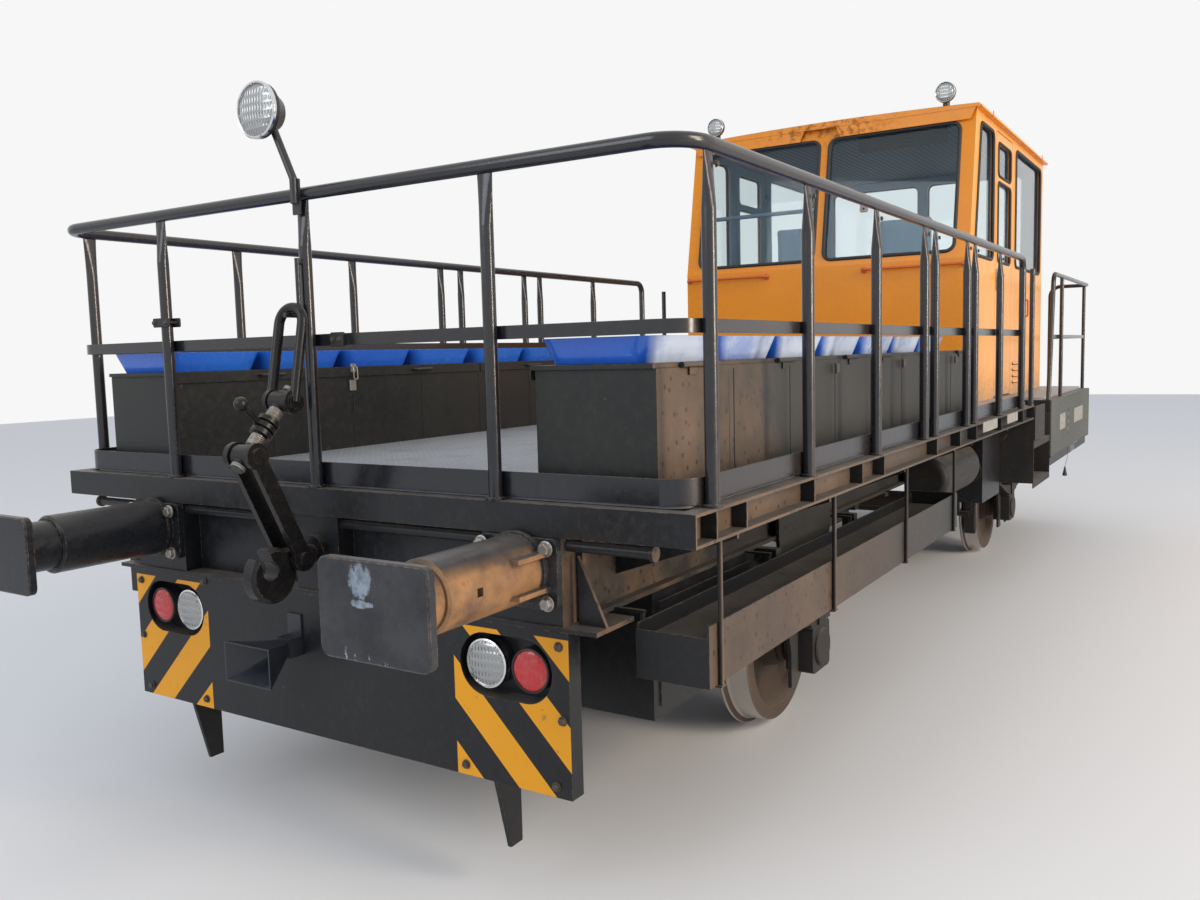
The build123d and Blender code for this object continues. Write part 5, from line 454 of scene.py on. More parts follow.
def panel_paint():
    """Dusty grey-green panel over a black band with three slanted white strokes."""
    paint = Paint("panel_grey", (0.062, 0.066, 0.056), (0.088, 0.09, 0.076), (0.45, 0.7))
    x, z = paint.axes["X"], paint.axes["Z"]
    band = paint.ramp(z, *(DECK_TOP - drop for drop in BAND_DROPS))
    paint.cover(band, (0.01, 0.011, 0.013), 0.4)
    leaning = paint.math("ADD", x, paint.product(z, STROKE_SLANT))
    for station in STROKES:
        middle = at(station) + STROKE_SLANT * (DECK_TOP - STROKE_DROP)
        off = paint.size(paint.math("SUBTRACT", leaning, middle))
        stroke = paint.ramp(off, STROKE_HALF + 0.001, STROKE_HALF)
        paint.cover(paint.product(stroke, band, paint.sideways(), 0.8), WHITE, 0.5)
    return paint.dusty(0.5).worn(0.6, (0.2, 0.15, 0.1)).rusty(0.1).done()


TREAD_RADII = (0.345, 0.352)


def wheel_paint():
    """Brown dust on the discs, bright rolling tread."""
    paint = Paint("wheel_steel", (0.055, 0.038, 0.028), (0.09, 0.06, 0.042), (0.55, 0.85))
    reach = paint.math("SUBTRACT", paint.size(paint.axes["X"]), AXLE_X)
    rise = paint.math("SUBTRACT", paint.axes["Z"], AXLE_Z)
    square = paint.math("ADD", paint.product(reach, reach), paint.product(rise, rise))
    paint.rusty(0.6).dusty(0.4).worn(0.5)
    round_face = paint.ramp(paint.size(paint.facing["Y"]), 0.75, 0.45)
    tread = paint.product(paint.ramp(paint.math("SQRT", square), *TREAD_RADII), round_face)
    paint.cover(tread, (0.52, 0.5, 0.48), 0.28)
    paint.feed(paint.bsdf.inputs["Metallic"], tread)
    return paint.done()


def seat_paint():
    """Saturated blue moulded plastic with a fine stipple, a painted pale glare on the outer sides, scuffs and
    dust.
    """
    paint = Paint("seat_blue", (0.01, 0.1, 0.56), (0.016, 0.145, 0.66), (0.16, 0.32))
    # Pale patches on the outer sides are painted glare
    painted_glare = paint.product(paint.sideways(1.2), paint.patches((2.2, 5.0, 0.6), 0.38, 0.52, 0.35, 0.9))
    scuffs = paint.patches((21.0, 8.0, 0.78, (1.0, 0.35, 1.0)), 0.58, 0.72, 0.0, 0.4)
    paint.cover(painted_glare, (0.66, 0.75, 0.88), 0.3).cover(scuffs, (0.2, 0.36, 0.7))
    paint.dusty(0.3, (0.3, 0.42, 0.6)).worn(0.5, (0.36, 0.5, 0.78))
    return paint.finish(paint.tone, paint.gloss, bump=paint.noise(320.0, 2.0), depth=0.0003,
                        round_edges=0.006, Coat_Weight=0.4)


def lens_paint(name, colour, ribs, rough, metallic):
    """Moulded lamp glass with ribs over a reflector."""
    shader = Shader(name)
    facets = shader.math("MAXIMUM", shader.wave("Y", ribs), shader.wave("Z", ribs / 2))
    tone = shader.mix(shader.patches((30.0, 5.0, 0.7), 0.5, 0.8, 0.0, 0.35), colour, DUST)
    return shader.finish(tone, rough, bump=facets, depth=0.002, Metallic=metallic, Coat_Weight=0.5,
                         Coat_Roughness=0.05)


def plain(name, colour, shade, rough, scale=60.0, metallic=0.0):
    """Evenly mottled surface for small parts."""
    shader = Shader(name)
    fine = shader.noise(scale, 5.0, 0.65)
    tone = shader.mix(shader.ramp(fine, 0.3, 0.7), colour, shade)
    return shader.finish(tone, shader.ramp(fine, 0.3, 0.7, *rough), bump=fine, depth=0.0003,
                         round_edges=0.001, Metallic=metallic)


def glass():
    shader = Shader("glass_tint")
    haze = shader.patches((5.0, 7.0, 0.7), 0.45, 0.85, 0.01, 0.1)
    return shader.finish((0.8, 0.86, 0.87), haze, Transmission_Weight=1.0, IOR=1.3)


def woven(name, colour, shade):
    """Woven upholstery."""
    shader = Shader(name)
    threads = [shader.wave(axis, 1400.0) for axis in "XYZ"]
    weave = shader.math("MAXIMUM", shader.math("MAXIMUM", threads[0], threads[1]), threads[2])
    tone = shader.mix(shader.patches((6.0, 6.0, 0.7), 0.35, 0.75), colour, shade)
    return shader.finish(tone, 0.9, bump=weave, depth=0.0006, Sheen_Weight=0.35, Sheen_Roughness=0.5)


# Black paints, each with what differs from the usual one
# Their side dust is tinted by painted sunlight near the open end and by painted shade farther on
BLACKS = {
    "black_frame": dict(dust=0.45, side_dust_and_sunlight=0.85, beyond=1.36, sunlight_fades=(0.9, 2.6), wear=0.7),
    "frame_black": dict(dust=0.45, side_dust_and_sunlight=0.9, beyond=0.98, sunlight_fades=(0.3, 0.6), wear=0.8,
                        worn=(0.26, 0.15, 0.08), rust=0.2),
    "trough_black": dict(dust=0.4, side_dust_and_sunlight=0.55, beyond=1.36, sunlight_fades=(1.0, 3.0), wear=0.8,
                         worn=(0.24, 0.15, 0.09)),
    "black_rail": dict(colour=(0.01, 0.011, 0.015), shade=(0.016, 0.016, 0.019), rough=(0.13, 0.24),
                       dust=0.25, side_dust_and_sunlight=0.12, beyond=1.3, wear=0.45, specular=0.6),
    "grey_sill": dict(colour=(0.009, 0.01, 0.013), shade=(0.02, 0.02, 0.02), dust=0.5, side_dust_and_sunlight=0.85,
                      beyond=1.3, sunlight_fades=(1.2, 3.6), wear=0.8, worn=(0.28, 0.19, 0.12)),
    "bench_paint": dict(colour=(0.013, 0.014, 0.014), shade=(0.024, 0.024, 0.021), rough=(0.3, 0.52),
                        dust=0.4, side_dust_and_sunlight=0.85, beyond=1.2, sunlight_fades=(0.25, 0.9), wear=0.5, rust=0.1),
    "under_grey": dict(colour=(0.011, 0.011, 0.012), shade=(0.03, 0.025, 0.021), rough=(0.45, 0.75),
                       dust=0.7, wear=0.5, worn=RUST, rust=0.35),
    "hook_black": dict(colour=(0.006, 0.006, 0.008), shade=(0.012, 0.011, 0.01), rough=(0.18, 0.42),
                       dust=0.2, wear=0.5, worn=(0.24, 0.18, 0.13)),
}

# Mottled finishes: colour, shade, roughness limits, and for some the mottling's scale and the metal's share
PLAINS = {
    "cab_inside": ((0.12, 0.2, 0.28), (0.15, 0.24, 0.33), (0.5, 0.7)),
    "visor": ((0.02, 0.028, 0.038), (0.024, 0.033, 0.044), (0.3, 0.4), 300.0),
    "cab_lip": ((0.82, 0.34, 0.02), (0.76, 0.29, 0.02), (0.25, 0.4)),
    "horn_black": ((0.01, 0.012, 0.018), (0.022, 0.026, 0.034), (0.28, 0.5), 14.0),
    "lamp_housing": ((0.012, 0.012, 0.014), (0.022, 0.022, 0.024), (0.25, 0.45)),
    "lamp_lens": ((0.02, 0.018, 0.018), (0.034, 0.03, 0.028), (0.4, 0.6)),
    "rubber": ((0.01, 0.01, 0.011), (0.022, 0.022, 0.022), (0.5, 0.75)),
    "zinc": ((0.42, 0.41, 0.39), (0.24, 0.2, 0.16), (0.3, 0.55), 60.0, 0.85),
    "dark_bolt": ((0.03, 0.028, 0.026), (0.085, 0.065, 0.045), (0.4, 0.7)),
    "chrome": ((0.75, 0.76, 0.77), (0.6, 0.6, 0.6), (0.08, 0.22), 60.0, 1.0),
    "plate": ((0.34, 0.33, 0.3), (0.24, 0.22, 0.19), (0.4, 0.7), 30.0),
    "grab_orange": ((0.62, 0.12, 0.02), (0.46, 0.08, 0.02), (0.3, 0.5)),
}


def build_materials():
    """Every finish by its name."""
    made = {name: black_paint(name, **settings) for name, settings in BLACKS.items()}
    made.update({name: plain(name, *settings) for name, settings in PLAINS.items()})
    made.update(cab_orange=cab_paint(), skirt_striped=skirt_paint(), deck_plate=deck_paint(),
                buffer_paint=buffer_paint(), panel_grey=panel_paint(), wheel_steel=wheel_paint(),
                seat_blue=seat_paint(), glass_tint=glass(),
                seat_grey=woven("seat_grey", (0.14, 0.27, 0.39), (0.22, 0.36, 0.48)),
                clear_lens=lens_paint("clear_lens", (0.34, 0.35, 0.35), 480.0, 0.2, 0.85),
                red_lens=lens_paint("red_lens", (0.55, 0.004, 0.008), 420.0, 0.25, 0.0))
    return made


# Nodes whose finish differs from the rest of their slot
OWN_FINISH = {"horn": "horn_black", "main_frame": "frame_black", "tool_troughs": "trough_black",
              "side_panels": "panel_grey"}


def dress_nodes():
    """Give every CAD node the material of its slot, or its own."""
    for part in frame["record"]["subparts"]:
        mesh = NODES[part["node"]].data
        mesh.materials.clear()
        mesh.materials.append(MATERIALS[OWN_FINISH.get(part["node"], part["material_slot"])])


def keep(name, data, material, body=VEHICLE):
    """New piece of the part: linked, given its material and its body."""
    piece = linked(name, data)
    data.materials.append(MATERIALS[material])
    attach(piece, body)
    return piece


def basis(origin, outward):
    """Frame whose Z looks outward and whose Y looks up as far as it can."""
    z = Vector(outward).normalized()
    up = Vector((0.0, 0.0, 1.0))
    if abs(z.dot(up)) > 0.95:
        up = Vector((1.0, 0.0, 0.0))
    x = up.cross(z).normalized()
    matrix = Matrix((x, z.cross(x), z)).transposed().to_4x4()
    matrix.translation = Vector(origin)
    return matrix


def skin(bm, rings):
    """Closed form over rings of points that lie one above the other."""
    rings = [[bm.verts.new(spot) for spot in ring] for ring in rings]
    for lower, upper in zip(rings, rings[1:]):
        for step in range(len(lower)):
            after = (step + 1) % len(lower)
            bm.faces.new((lower[step], lower[after], upper[after], upper[step]))
    bm.faces.new(list(reversed(rings[0])))
    bm.faces.new(rings[-1])


def spin_into(bm, matrix, profile, segments):
    """Closed turned form about the frame's Z from (radius, height) pairs."""
    turns = [math.tau * step / segments for step in range(segments)]
    skin(bm, [[matrix @ Vector((radius * math.cos(turn), radius * math.sin(turn), height)) for turn in turns]
              for radius, height in profile])


RIM_SLOPE = 1.4


def plate_into(bm, matrix, outline, thickness, rim=0.0):
    """Plate standing on the frame's XY plane, with a small slope round its upper edge."""
    count = len(outline)
    middle = Vector((sum(x for x, _ in outline) / count, sum(y for _, y in outline) / count))
    levels = [(0.0, 0.0), (thickness - rim, 0.0), (thickness, rim)] if rim else [(0.0, 0.0), (thickness, 0.0)]
    rings = []
    for height, inset in levels:
        spots = [Vector(corner) for corner in outline]
        spots = [spot + (middle - spot).normalized() * inset * RIM_SLOPE for spot in spots]
        rings.append([matrix @ Vector((*spot, height)) for spot in spots])
    skin(bm, rings)


def close(bm, name, material, body=VEHICLE, smooth=False):
    """Mesh from what was gathered, kept as a piece."""
    bmesh.ops.recalc_face_normals(bm, faces=bm.faces)
    mesh = bpy.data.meshes.new(name)
    bm.to_mesh(mesh)
    bm.free()
    if smooth:
        mesh.polygons.foreach_set("use_smooth", [True] * len(mesh.polygons))
        mesh.set_sharp_from_angle(angle=math.radians(35.0))
    return keep(name, mesh, material, body)


# A bolt's washer and head, as shares of its size, and how many sides round forms have
WASHER = ((1.25, 0.0), (1.25, 0.18), (1.1, 0.25))
HEAD = ((1.0, 0.2), (1.0, 0.85), (0.86, 1.0))
HEX = 6
FEW = 16
SOME = 20
ROUND = 24
SMOOTH = 28


def bolts(name, places, outward, size, material="dark_bolt"):
    """Hexagon heads on washers, each turned by its own amount."""
    bm = bmesh.new()
    for place in places:
        matrix = basis(place, outward) @ Matrix.Rotation(DICE.uniform(0.0, math.tau), 4, "Z")
        for profile, segments in ((WASHER, ROUND), (HEAD, HEX)):
            spin_into(bm, matrix, [(size * radius, size * height) for radius, height in profile], segments)
    return close(bm, name, material)


def turned(name, profile, places, outward, material, body=VEHICLE, segments=40):
    """The same turned form at each place."""
    bm = bmesh.new()
    for place in places:
        spin_into(bm, basis(place, outward), profile, segments)
    return close(bm, name, material, body, smooth=True)


def corners(start, stop, foot, head):
    """Corners of an upright rectangle, in turn."""
    return [(start, foot), (stop, foot), (stop, head), (start, head)]


def rounded(outline, radius, steps=6):
    """Closed outline with an arc at each corner."""
    points = []
    count = len(outline)
    for index, corner in enumerate(outline):
        here = Vector(corner)
        before = (Vector(outline[index - 1]) - here).normalized()
        after = (Vector(outline[(index + 1) % count]) - here).normalized()
        half = before.angle(after) / 2
        reach = radius / math.tan(half)
        centre = here + (before + after).normalized() * (radius / math.sin(half))
        start, stop = here + before * reach - centre, here + after * reach - centre
        for step in range(steps + 1):
            points.append(tuple(centre + start.normalized().slerp(stop.normalized(), step / steps) * radius))
    return points


TUBE_RESOLUTION = 3
BEND_STEPS = 5


def tube(name, paths, radius, material, body=VEHICLE, closed=False):
    """Round bar along each path."""
    curve = bpy.data.curves.new(name, "CURVE")
    curve.dimensions = "3D"
    curve.bevel_depth = radius
    curve.bevel_resolution = TUBE_RESOLUTION
    curve.use_fill_caps = not closed
    for path in paths:
        spline = curve.splines.new("POLY")
        spline.points.add(len(path) - 1)
        for point, spot in zip(spline.points, path):
            point.co = (*spot, 1.0)
        spline.use_cyclic_u = closed
    return keep(name, curve, material, body)


def bent(points, radius):
    """Open path with an arc at each inner corner."""
    path = [tuple(points[0])]
    for before, here, after in zip(points, points[1:], points[2:]):
        here = Vector(here)
        back, on = (Vector(before) - here), (Vector(after) - here)
        reach = min(radius, back.length * 0.45, on.length * 0.45)
        start, stop = here + back.normalized() * reach, here + on.normalized() * reach
        for step in range(BEND_STEPS + 1):
            share = step / BEND_STEPS
            path.append(tuple(start.lerp(here, share).lerp(here.lerp(stop, share), share)))
    path.append(tuple(points[-1]))
    return path


LOUVRE_COUNT = 4
LOUVRE_PITCH = 0.05
LOUVRE_LENGTH = 0.56
SEAM_WIDTH = 0.0022
# Small plates: half width, foot, head, corner radius, steps of its arc, thickness and sloped rim
PLATES = {
    "screen_latch": (0.03, -0.045, 0.045, 0.012, 4, 0.012, 0.003),
    "gutter_clamp": (0.016, -0.012, 0.03, 0.0, 0, 0.002, 0.0),
    "lock_plate": (0.026, -0.095, 0.07, 0.012, 4, 0.006, 0.002),
    "post_clamp": (0.046, -0.017, 0.017, 0.006, 3, 0.009, 0.002),
    "bar_clamp": (0.03, -0.024, 0.024, 0.006, 3, 0.012, 0.003),
    "bench_seam": (SEAM_WIDTH, -0.185, 0.185, 0.0, 0, 0.0022, 0.001),
    "latch_plate": (0.017, -0.02, 0.02, 0.006, 3, 0.004, 0.001),
    "latch_keeper": (0.02, -0.03, 0.022, 0.005, 3, 0.01, 0.003),
    "outer_catch": (0.016, -0.022, 0.018, 0.005, 3, 0.012, 0.003),
    "louvre_lip": (LOUVRE_LENGTH / 2, -0.013, 0.013, 0.006, 3, 0.003, 0.001),
    "sun_visor": (0.32, -0.058, 0.058, 0.02, 4, 0.008, 0.002),
    "desk_hood": (0.3, -0.1, 0.1, 0.03, 5, 0.16, 0.02),
}


def small_plate(bm, kind, place, outward):
    half, foot, head, corner, steps, thickness, rim = PLATES[kind]
    outline = corners(-half, half, foot, head)
    if corner:
        outline = rounded(outline, corner, steps)
    plate_into(bm, basis(place, outward), outline, thickness, rim)


def plates(name, kind, places, outward, material, body=VEHICLE):
    """The same small plate at each place."""
    bm = bmesh.new()
    for place in places:
        small_plate(bm, kind, place, outward)
    return close(bm, name, material, body)


SEAL_RADIUS = 0.013
DOOR_SEAL_RADIUS = SEAL_RADIUS * 0.8
WINDOW_CORNER = 0.06
DOOR_CORNER = 0.045
SIDE_WINDOW_BOTTOM = WAIST + 0.025
SIDE_WINDOW_TOP = EAVES - 0.071
DOOR_START = CAB_FRONT + 0.857
DOOR_END = DOOR_START + 0.64
PANE_START = DOOR_START + 0.078
PANE_END = DOOR_END - 0.078
PANE_BAR = SIDE_WINDOW_TOP - 0.313
PANE_BAR_HALF = 0.022
# Front windows and rear windows: from the middle, and in from the cab's side
SCREEN_EDGES = (0.038, 0.103)
REAR_EDGES = (0.045, 0.178)
# Side windows before and behind the door
SIDE_WINDOW_ENDS = ((CAB_FRONT + 0.15, CAB_FRONT + 0.76), (DOOR_END + 0.138, CAB_REAR - 0.145))


def window_seals():
    """Black rubber round every pane, set in the wall's outer face."""
    screens, rears = [], []
    for _, side in SIDES:
        inner, outer = side * SCREEN_EDGES[0], side * (CAB_SIDE - SCREEN_EDGES[1])
        window = rounded(corners(inner, outer, SCREEN_BOTTOM, SCREEN_TOP), WINDOW_CORNER)
        screens.append([(face_x(z), y, z) for y, z in window])
        inner, outer = side * REAR_EDGES[0], side * (CAB_SIDE - REAR_EDGES[1])
        window = rounded(corners(inner, outer, SCREEN_BOTTOM, SIDE_WINDOW_TOP), WINDOW_CORNER)
        rears.append([(CAB_REAR, y, z) for y, z in window])
    tube("screen_seals", screens, SEAL_RADIUS, "rubber", closed=True)
    tube("rear_window_seals", rears, SEAL_RADIUS, "rubber", closed=True)
    foot, head = SIDE_WINDOW_BOTTOM, SIDE_WINDOW_TOP
    fixed = [corners(*ends, foot, head) for ends in SIDE_WINDOW_ENDS]
    fixed[0][3] = (fixed[0][3][0] + face_x(head) - face_x(foot), head)
    panes = (corners(PANE_START, PANE_END, foot, PANE_BAR - PANE_BAR_HALF),
             corners(PANE_START, PANE_END, PANE_BAR + PANE_BAR_HALF, head - 2 * PANE_BAR_HALF))
    for name, side in SIDES:
        for kind, windows, corner, radius, body in (
                ("side_window_seals_", fixed, WINDOW_CORNER, SEAL_RADIUS, VEHICLE),
                ("door_window_seals_", panes, DOOR_CORNER, DOOR_SEAL_RADIUS, "door_" + name)):
            paths = [[(x, side * CAB_SIDE, z) for x, z in rounded(window, corner)] for window in windows]
            tube(kind + name, paths, radius, "rubber", body, closed=True)


# Grab bars on the cab's face: radius, bend, stand-off, height and spans across; the screen latch's middle
GRAB_RADIUS = 0.01
GRAB_BEND = 0.035
GRAB_STAND_OFF = 0.045
GRAB_Z = DECK_TOP + 0.985
GRAB_SPANS = ((0.4, 1.055), (-0.35, -1.055))
GRAB_FOOT = ((0.024, -0.001), (0.024, 0.004), (0.02, 0.006))
LATCH_Y = -0.321
LATCH_Z = DECK_TOP + 1.451
LATCH_HOLE = ((0.009, -0.001), (0.009, 0.0006))


def cab_front_fittings():
    """Grab bars and a screen latch on the cab's open face."""
    bars, feet = [], []
    x = CAB_FRONT - GRAB_STAND_OFF
    for start, stop in GRAB_SPANS:
        ends = [(CAB_FRONT, start, GRAB_Z), (CAB_FRONT, stop, GRAB_Z)]
        bars.append(bent([ends[0], (x, start, GRAB_Z), (x, stop, GRAB_Z), ends[1]], GRAB_BEND))
        feet += ends
    tube("front_grab_bars", bars, GRAB_RADIUS, "grab_orange")
    turned("front_grab_feet", GRAB_FOOT, feet, (-1, 0, 0), "grab_orange", segments=ROUND)
    tilt = (-(EAVES - WAIST), 0.0, RAKE)
    place = (face_x(LATCH_Z) + WALL / 2 - 0.003, LATCH_Y, LATCH_Z)
    plates("screen_latch", "screen_latch", [place], tilt, "plate")
    holes = [basis(place, tilt) @ Vector((0.0, rise, 0.0125)) for rise in (-0.022, 0.022)]
    turned("screen_latch_holes", LATCH_HOLE, holes, tilt, "rubber", segments=FEW)


CLAMP_STATIONS = (0.35, 2.45)


def gutter_clamps():
    """Two small straps at each eave."""
    bm = bmesh.new()
    for _, side in SIDES:
        for station in CLAMP_STATIONS:
            place = (face_x(EAVES) + station, side * (high("cab_roof").y - 0.001), EAVES + 0.006)
            small_plate(bm, "gutter_clamp", place, (0, side, 0))
    close(bm, "gutter_clamps", "grab_orange")


# Door lock and lever: place, stand-off and the lever's reach; the short grab handle behind the door
LOCK_X = DOOR_START + 0.06
LOCK_Z = WAIST - 0.1
LEVER_OUT = 0.034
LEVER_REACH = 0.105
LEVER_RADIUS = 0.008
HANDLE_X = at(6.93)
HANDLE_OUT = 0.04
HANDLE_HEIGHTS = (DECK_TOP + 0.66, DECK_TOP + 0.8)
HANDLE_FOOT = ((0.018, -0.001), (0.018, 0.004), (0.015, 0.006))


def door_fittings():
    """Lock plate and lever on each cab door, and a short grab handle behind it."""
    foot, head = HANDLE_HEIGHTS
    for name, side in SIDES:
        wall = side * CAB_SIDE
        body = "door_" + name
        plates("lock_plate_" + name, "lock_plate", [(LOCK_X, wall, LOCK_Z)], (0, side, 0), "zinc", body)
        out = wall + side * LEVER_OUT
        lever = bent([(LOCK_X, wall, LOCK_Z + 0.03), (LOCK_X, out, LOCK_Z + 0.03),
                      (LOCK_X + LEVER_REACH, out, LOCK_Z + 0.022)], 0.014)
        tube("door_lever_" + name, [lever], LEVER_RADIUS, "zinc", body)
        out = wall + side * HANDLE_OUT
        handle = [(HANDLE_X, y, z) for y, z in ((wall, foot), (out, foot), (out, head), (wall, head))]
        tube("side_grab_" + name, [bent(handle, 0.025)], LEVER_RADIUS, "grab_orange")
        turned("side_grab_feet_" + name, HANDLE_FOOT, [handle[0], handle[-1]], (0, side, 0), "grab_orange",
               segments=ROUND)


# Rims of the lamps as (share of the radius, height); lens domes rise from a share of it to their height
WORK_RIM = ((1.0, -0.01), (1.04, -0.006), (1.04, 0.003), (0.99, 0.008), (0.95, 0.006), (0.94, 0.0))
MARKER_RIM = ((1.0, -0.02), (1.03, -0.006), (1.01, 0.003), (0.94, 0.005), (0.92, 0.001))
WORK_DOME = (0.945, 0.012)
MARKER_DOME = (0.93, 0.01)
DOME_TURNS = (0.0, 0.4, 0.8, 1.2, 1.5)
HEADLAMP_PLACE = (at(-0.062), 0.102, DECK_TOP + 1.258)
HEADLAMP_RADIUS = 0.09
ROOF_LAMP_X = CAB_FRONT + 0.135
ROOF_LAMP_Y = CAB_SIDE - 0.2
ROOF_LAMP_Z = high("cab_roof").z + 0.076
ROOF_LAMP_RADIUS = 0.067
MARKER_INSET = 0.012
# Marker lamps: colour, distance from the middle, radius, lens and rim
MARKERS = (("white", 0.725, 0.077, "clear_lens", "chrome"), ("red", 0.893, 0.068, "red_lens", "lamp_lens"))


def lamp_face(name, places, outward, radius, rim, dome, finishes):
    """Rim and domed lens of like lamps."""
    share, rise = dome
    rim = [(radius * part, height) for part, height in rim]
    lens = [(radius * share, -0.001)]
    lens += [(radius * share * math.cos(turn), rise * math.sin(turn)) for turn in DOME_TURNS]
    turned(name + "_rim", rim, places, outward, finishes[1])
    turned(name + "_lens", lens, places, outward, finishes[0])


def lamp_faces():
    """Rims and lenses of the work lamps and of the marker lamps at both ends."""
    roof_places = [(ROOF_LAMP_X, side * ROOF_LAMP_Y, ROOF_LAMP_Z) for _, side in SIDES]
    for name, places, radius in (("headlamp", [HEADLAMP_PLACE], HEADLAMP_RADIUS),
                                 ("roof_lamp", roof_places, ROOF_LAMP_RADIUS)):
        lamp_face(name, places, (-1, 0, 0), radius, WORK_RIM, WORK_DOME, ("clear_lens", "chrome"))
    for end, edge, outward in ENDS:
        for kind, y, radius, *finishes in MARKERS:
            places = [(edge - outward * MARKER_INSET, side * y, LAMP_Z) for _, side in SIDES]
            name = kind + "_lamp_" + end
            lamp_face(name, places, (outward, 0, 0), radius, MARKER_RIM, MARKER_DOME, finishes)


# Bolts on the skirts: distance from the middle and height over the deck's top
SKIRT_BOLTS = ((0.618, -0.388), (1.007, -0.418), (1.014, -0.64), (0.64, -0.845), (0.985, -0.845))
SKIRT_BOLT_SIZE = 0.012


def skirt_bolts():
    """Bolt heads on both skirts."""
    for end, x, outward in ENDS:
        places = [(x, side * y, DECK_TOP + z) for _, side in SIDES for y, z in SKIRT_BOLTS]
        bolts("skirt_bolts_" + end, places, (outward, 0, 0), SKIRT_BOLT_SIZE)


BUFFER_Y = 0.875
BUFFER_DROP = 0.204
BASE_FACE = 0.03
NUT_ACROSS = 0.118
NUT_UP = 0.08
NUT_SIZE = 0.019


def buffer_nuts():
    """Four nuts on each buffer's base plate."""
    for end, edge, outward in ENDS:
        places = [(edge + outward * BASE_FACE, side * BUFFER_Y + across, DECK_TOP - BUFFER_DROP + rise)
                  for _, side in SIDES for across in (-NUT_ACROSS, NUT_ACROSS) for rise in (-NUT_UP, NUT_UP)]
        bolts("buffer_nuts_" + end, places, (outward, 0, 0), NUT_SIZE, "zinc")


# Railing posts, as shares of the way from the first to the last
POST_SHARES = (0.0303, 0.1848, 0.3413, 0.4916, 0.5303, 0.6681, 0.7056, 0.8476)
POST_STATION = 0.024
POST_BOLT_SIZE = 0.008
FOOT_BOLT_SIZE = 0.0055


def post_bolts():
    """A bolt through each flattened post top, and two in each post foot."""
    reach = CAB_FRONT - 0.105 - at(POST_STATION)
    spots = [at(POST_STATION) + reach * share for share in POST_SHARES]
    rail_y = DECK_SIDE - 0.02
    for name, side in SIDES:
        tops = [(x, side * (rail_y + 0.0125), RAIL_TOP - 0.075) for x in spots]
        feet = [(x + step, side * rail_y, DECK_TOP + 0.008) for x in spots for step in (-0.026, 0.026)]
        bolts("post_bolts_" + name, tops, (0, side, 0), POST_BOLT_SIZE)
        bolts("foot_bolts_" + name, feet, (0, 0, 1), FOOT_BOLT_SIZE)


POST_Y = 0.775
POST_RADIUS = 0.021
POST_CLAMP_Z = DECK_TOP + 0.588
POST_BOLT_STEP = 0.034
BAR_CLAMP_Y = -0.115
BAR_CLAMP_Z = DECK_TOP + 0.5
BAR_BOLT_STEP = 0.016
CLAMP_STEM = ((0.0045, 0.0), (0.0045, 2 * POST_RADIUS))


def rail_clamps():
    """Bolted clamp round one post of the open end's railing, and a plate bolted to its middle bar."""
    axis_x = at(POST_STATION)
    bar_x = low("railing_bars").x + 0.0005
    bm = bmesh.new()
    for outward in (-1, 1):
        place = (axis_x + outward * (POST_RADIUS - 0.001), POST_Y, POST_CLAMP_Z)
        small_plate(bm, "post_clamp", place, (outward, 0, 0))
    spots = []
    for step in (-POST_BOLT_STEP, POST_BOLT_STEP):
        spots.append((axis_x - POST_RADIUS - 0.0075, POST_Y + step, POST_CLAMP_Z))
        spin_into(bm, basis((axis_x - POST_RADIUS, POST_Y + step, POST_CLAMP_Z), (1, 0, 0)), CLAMP_STEM, 12)
    small_plate(bm, "bar_clamp", (bar_x, BAR_CLAMP_Y, BAR_CLAMP_Z), (-1, 0, 0))
    spots += [(bar_x - 0.0115, BAR_CLAMP_Y + step, BAR_CLAMP_Z) for step in (-BAR_BOLT_STEP, BAR_BOLT_STEP)]
    close(bm, "rail_clamps", "rubber")
    bolts("rail_clamp_bolts", spots, (-1, 0, 0), POST_BOLT_SIZE)


# How far flat trim is sunk in its face
SUNK = 0.0005
# Benches: seams as shares of the length, the lids' split, outer catches' stations, heights over the deck
SEAM_SHARES = (0.125, 0.25, 0.375, 0.62, 0.75, 0.875)
SEAM_Z = DECK_TOP + 0.19
LID_SPLIT = BENCH_FRONT + 1.883
LID_LIP = 0.012
CATCH_STATIONS = (1.544, 2.485, 3.52)
CATCH_Z = DECK_TOP + 0.352
# Half of a latch's wire loop: out to the aisle and up from the lid's edge
LOOP_ARM = ((0.0, 0.0), (0.014, -0.005), (0.016, -0.06))
LOOP_HALF = 0.012
LOOP_RADIUS = 0.003


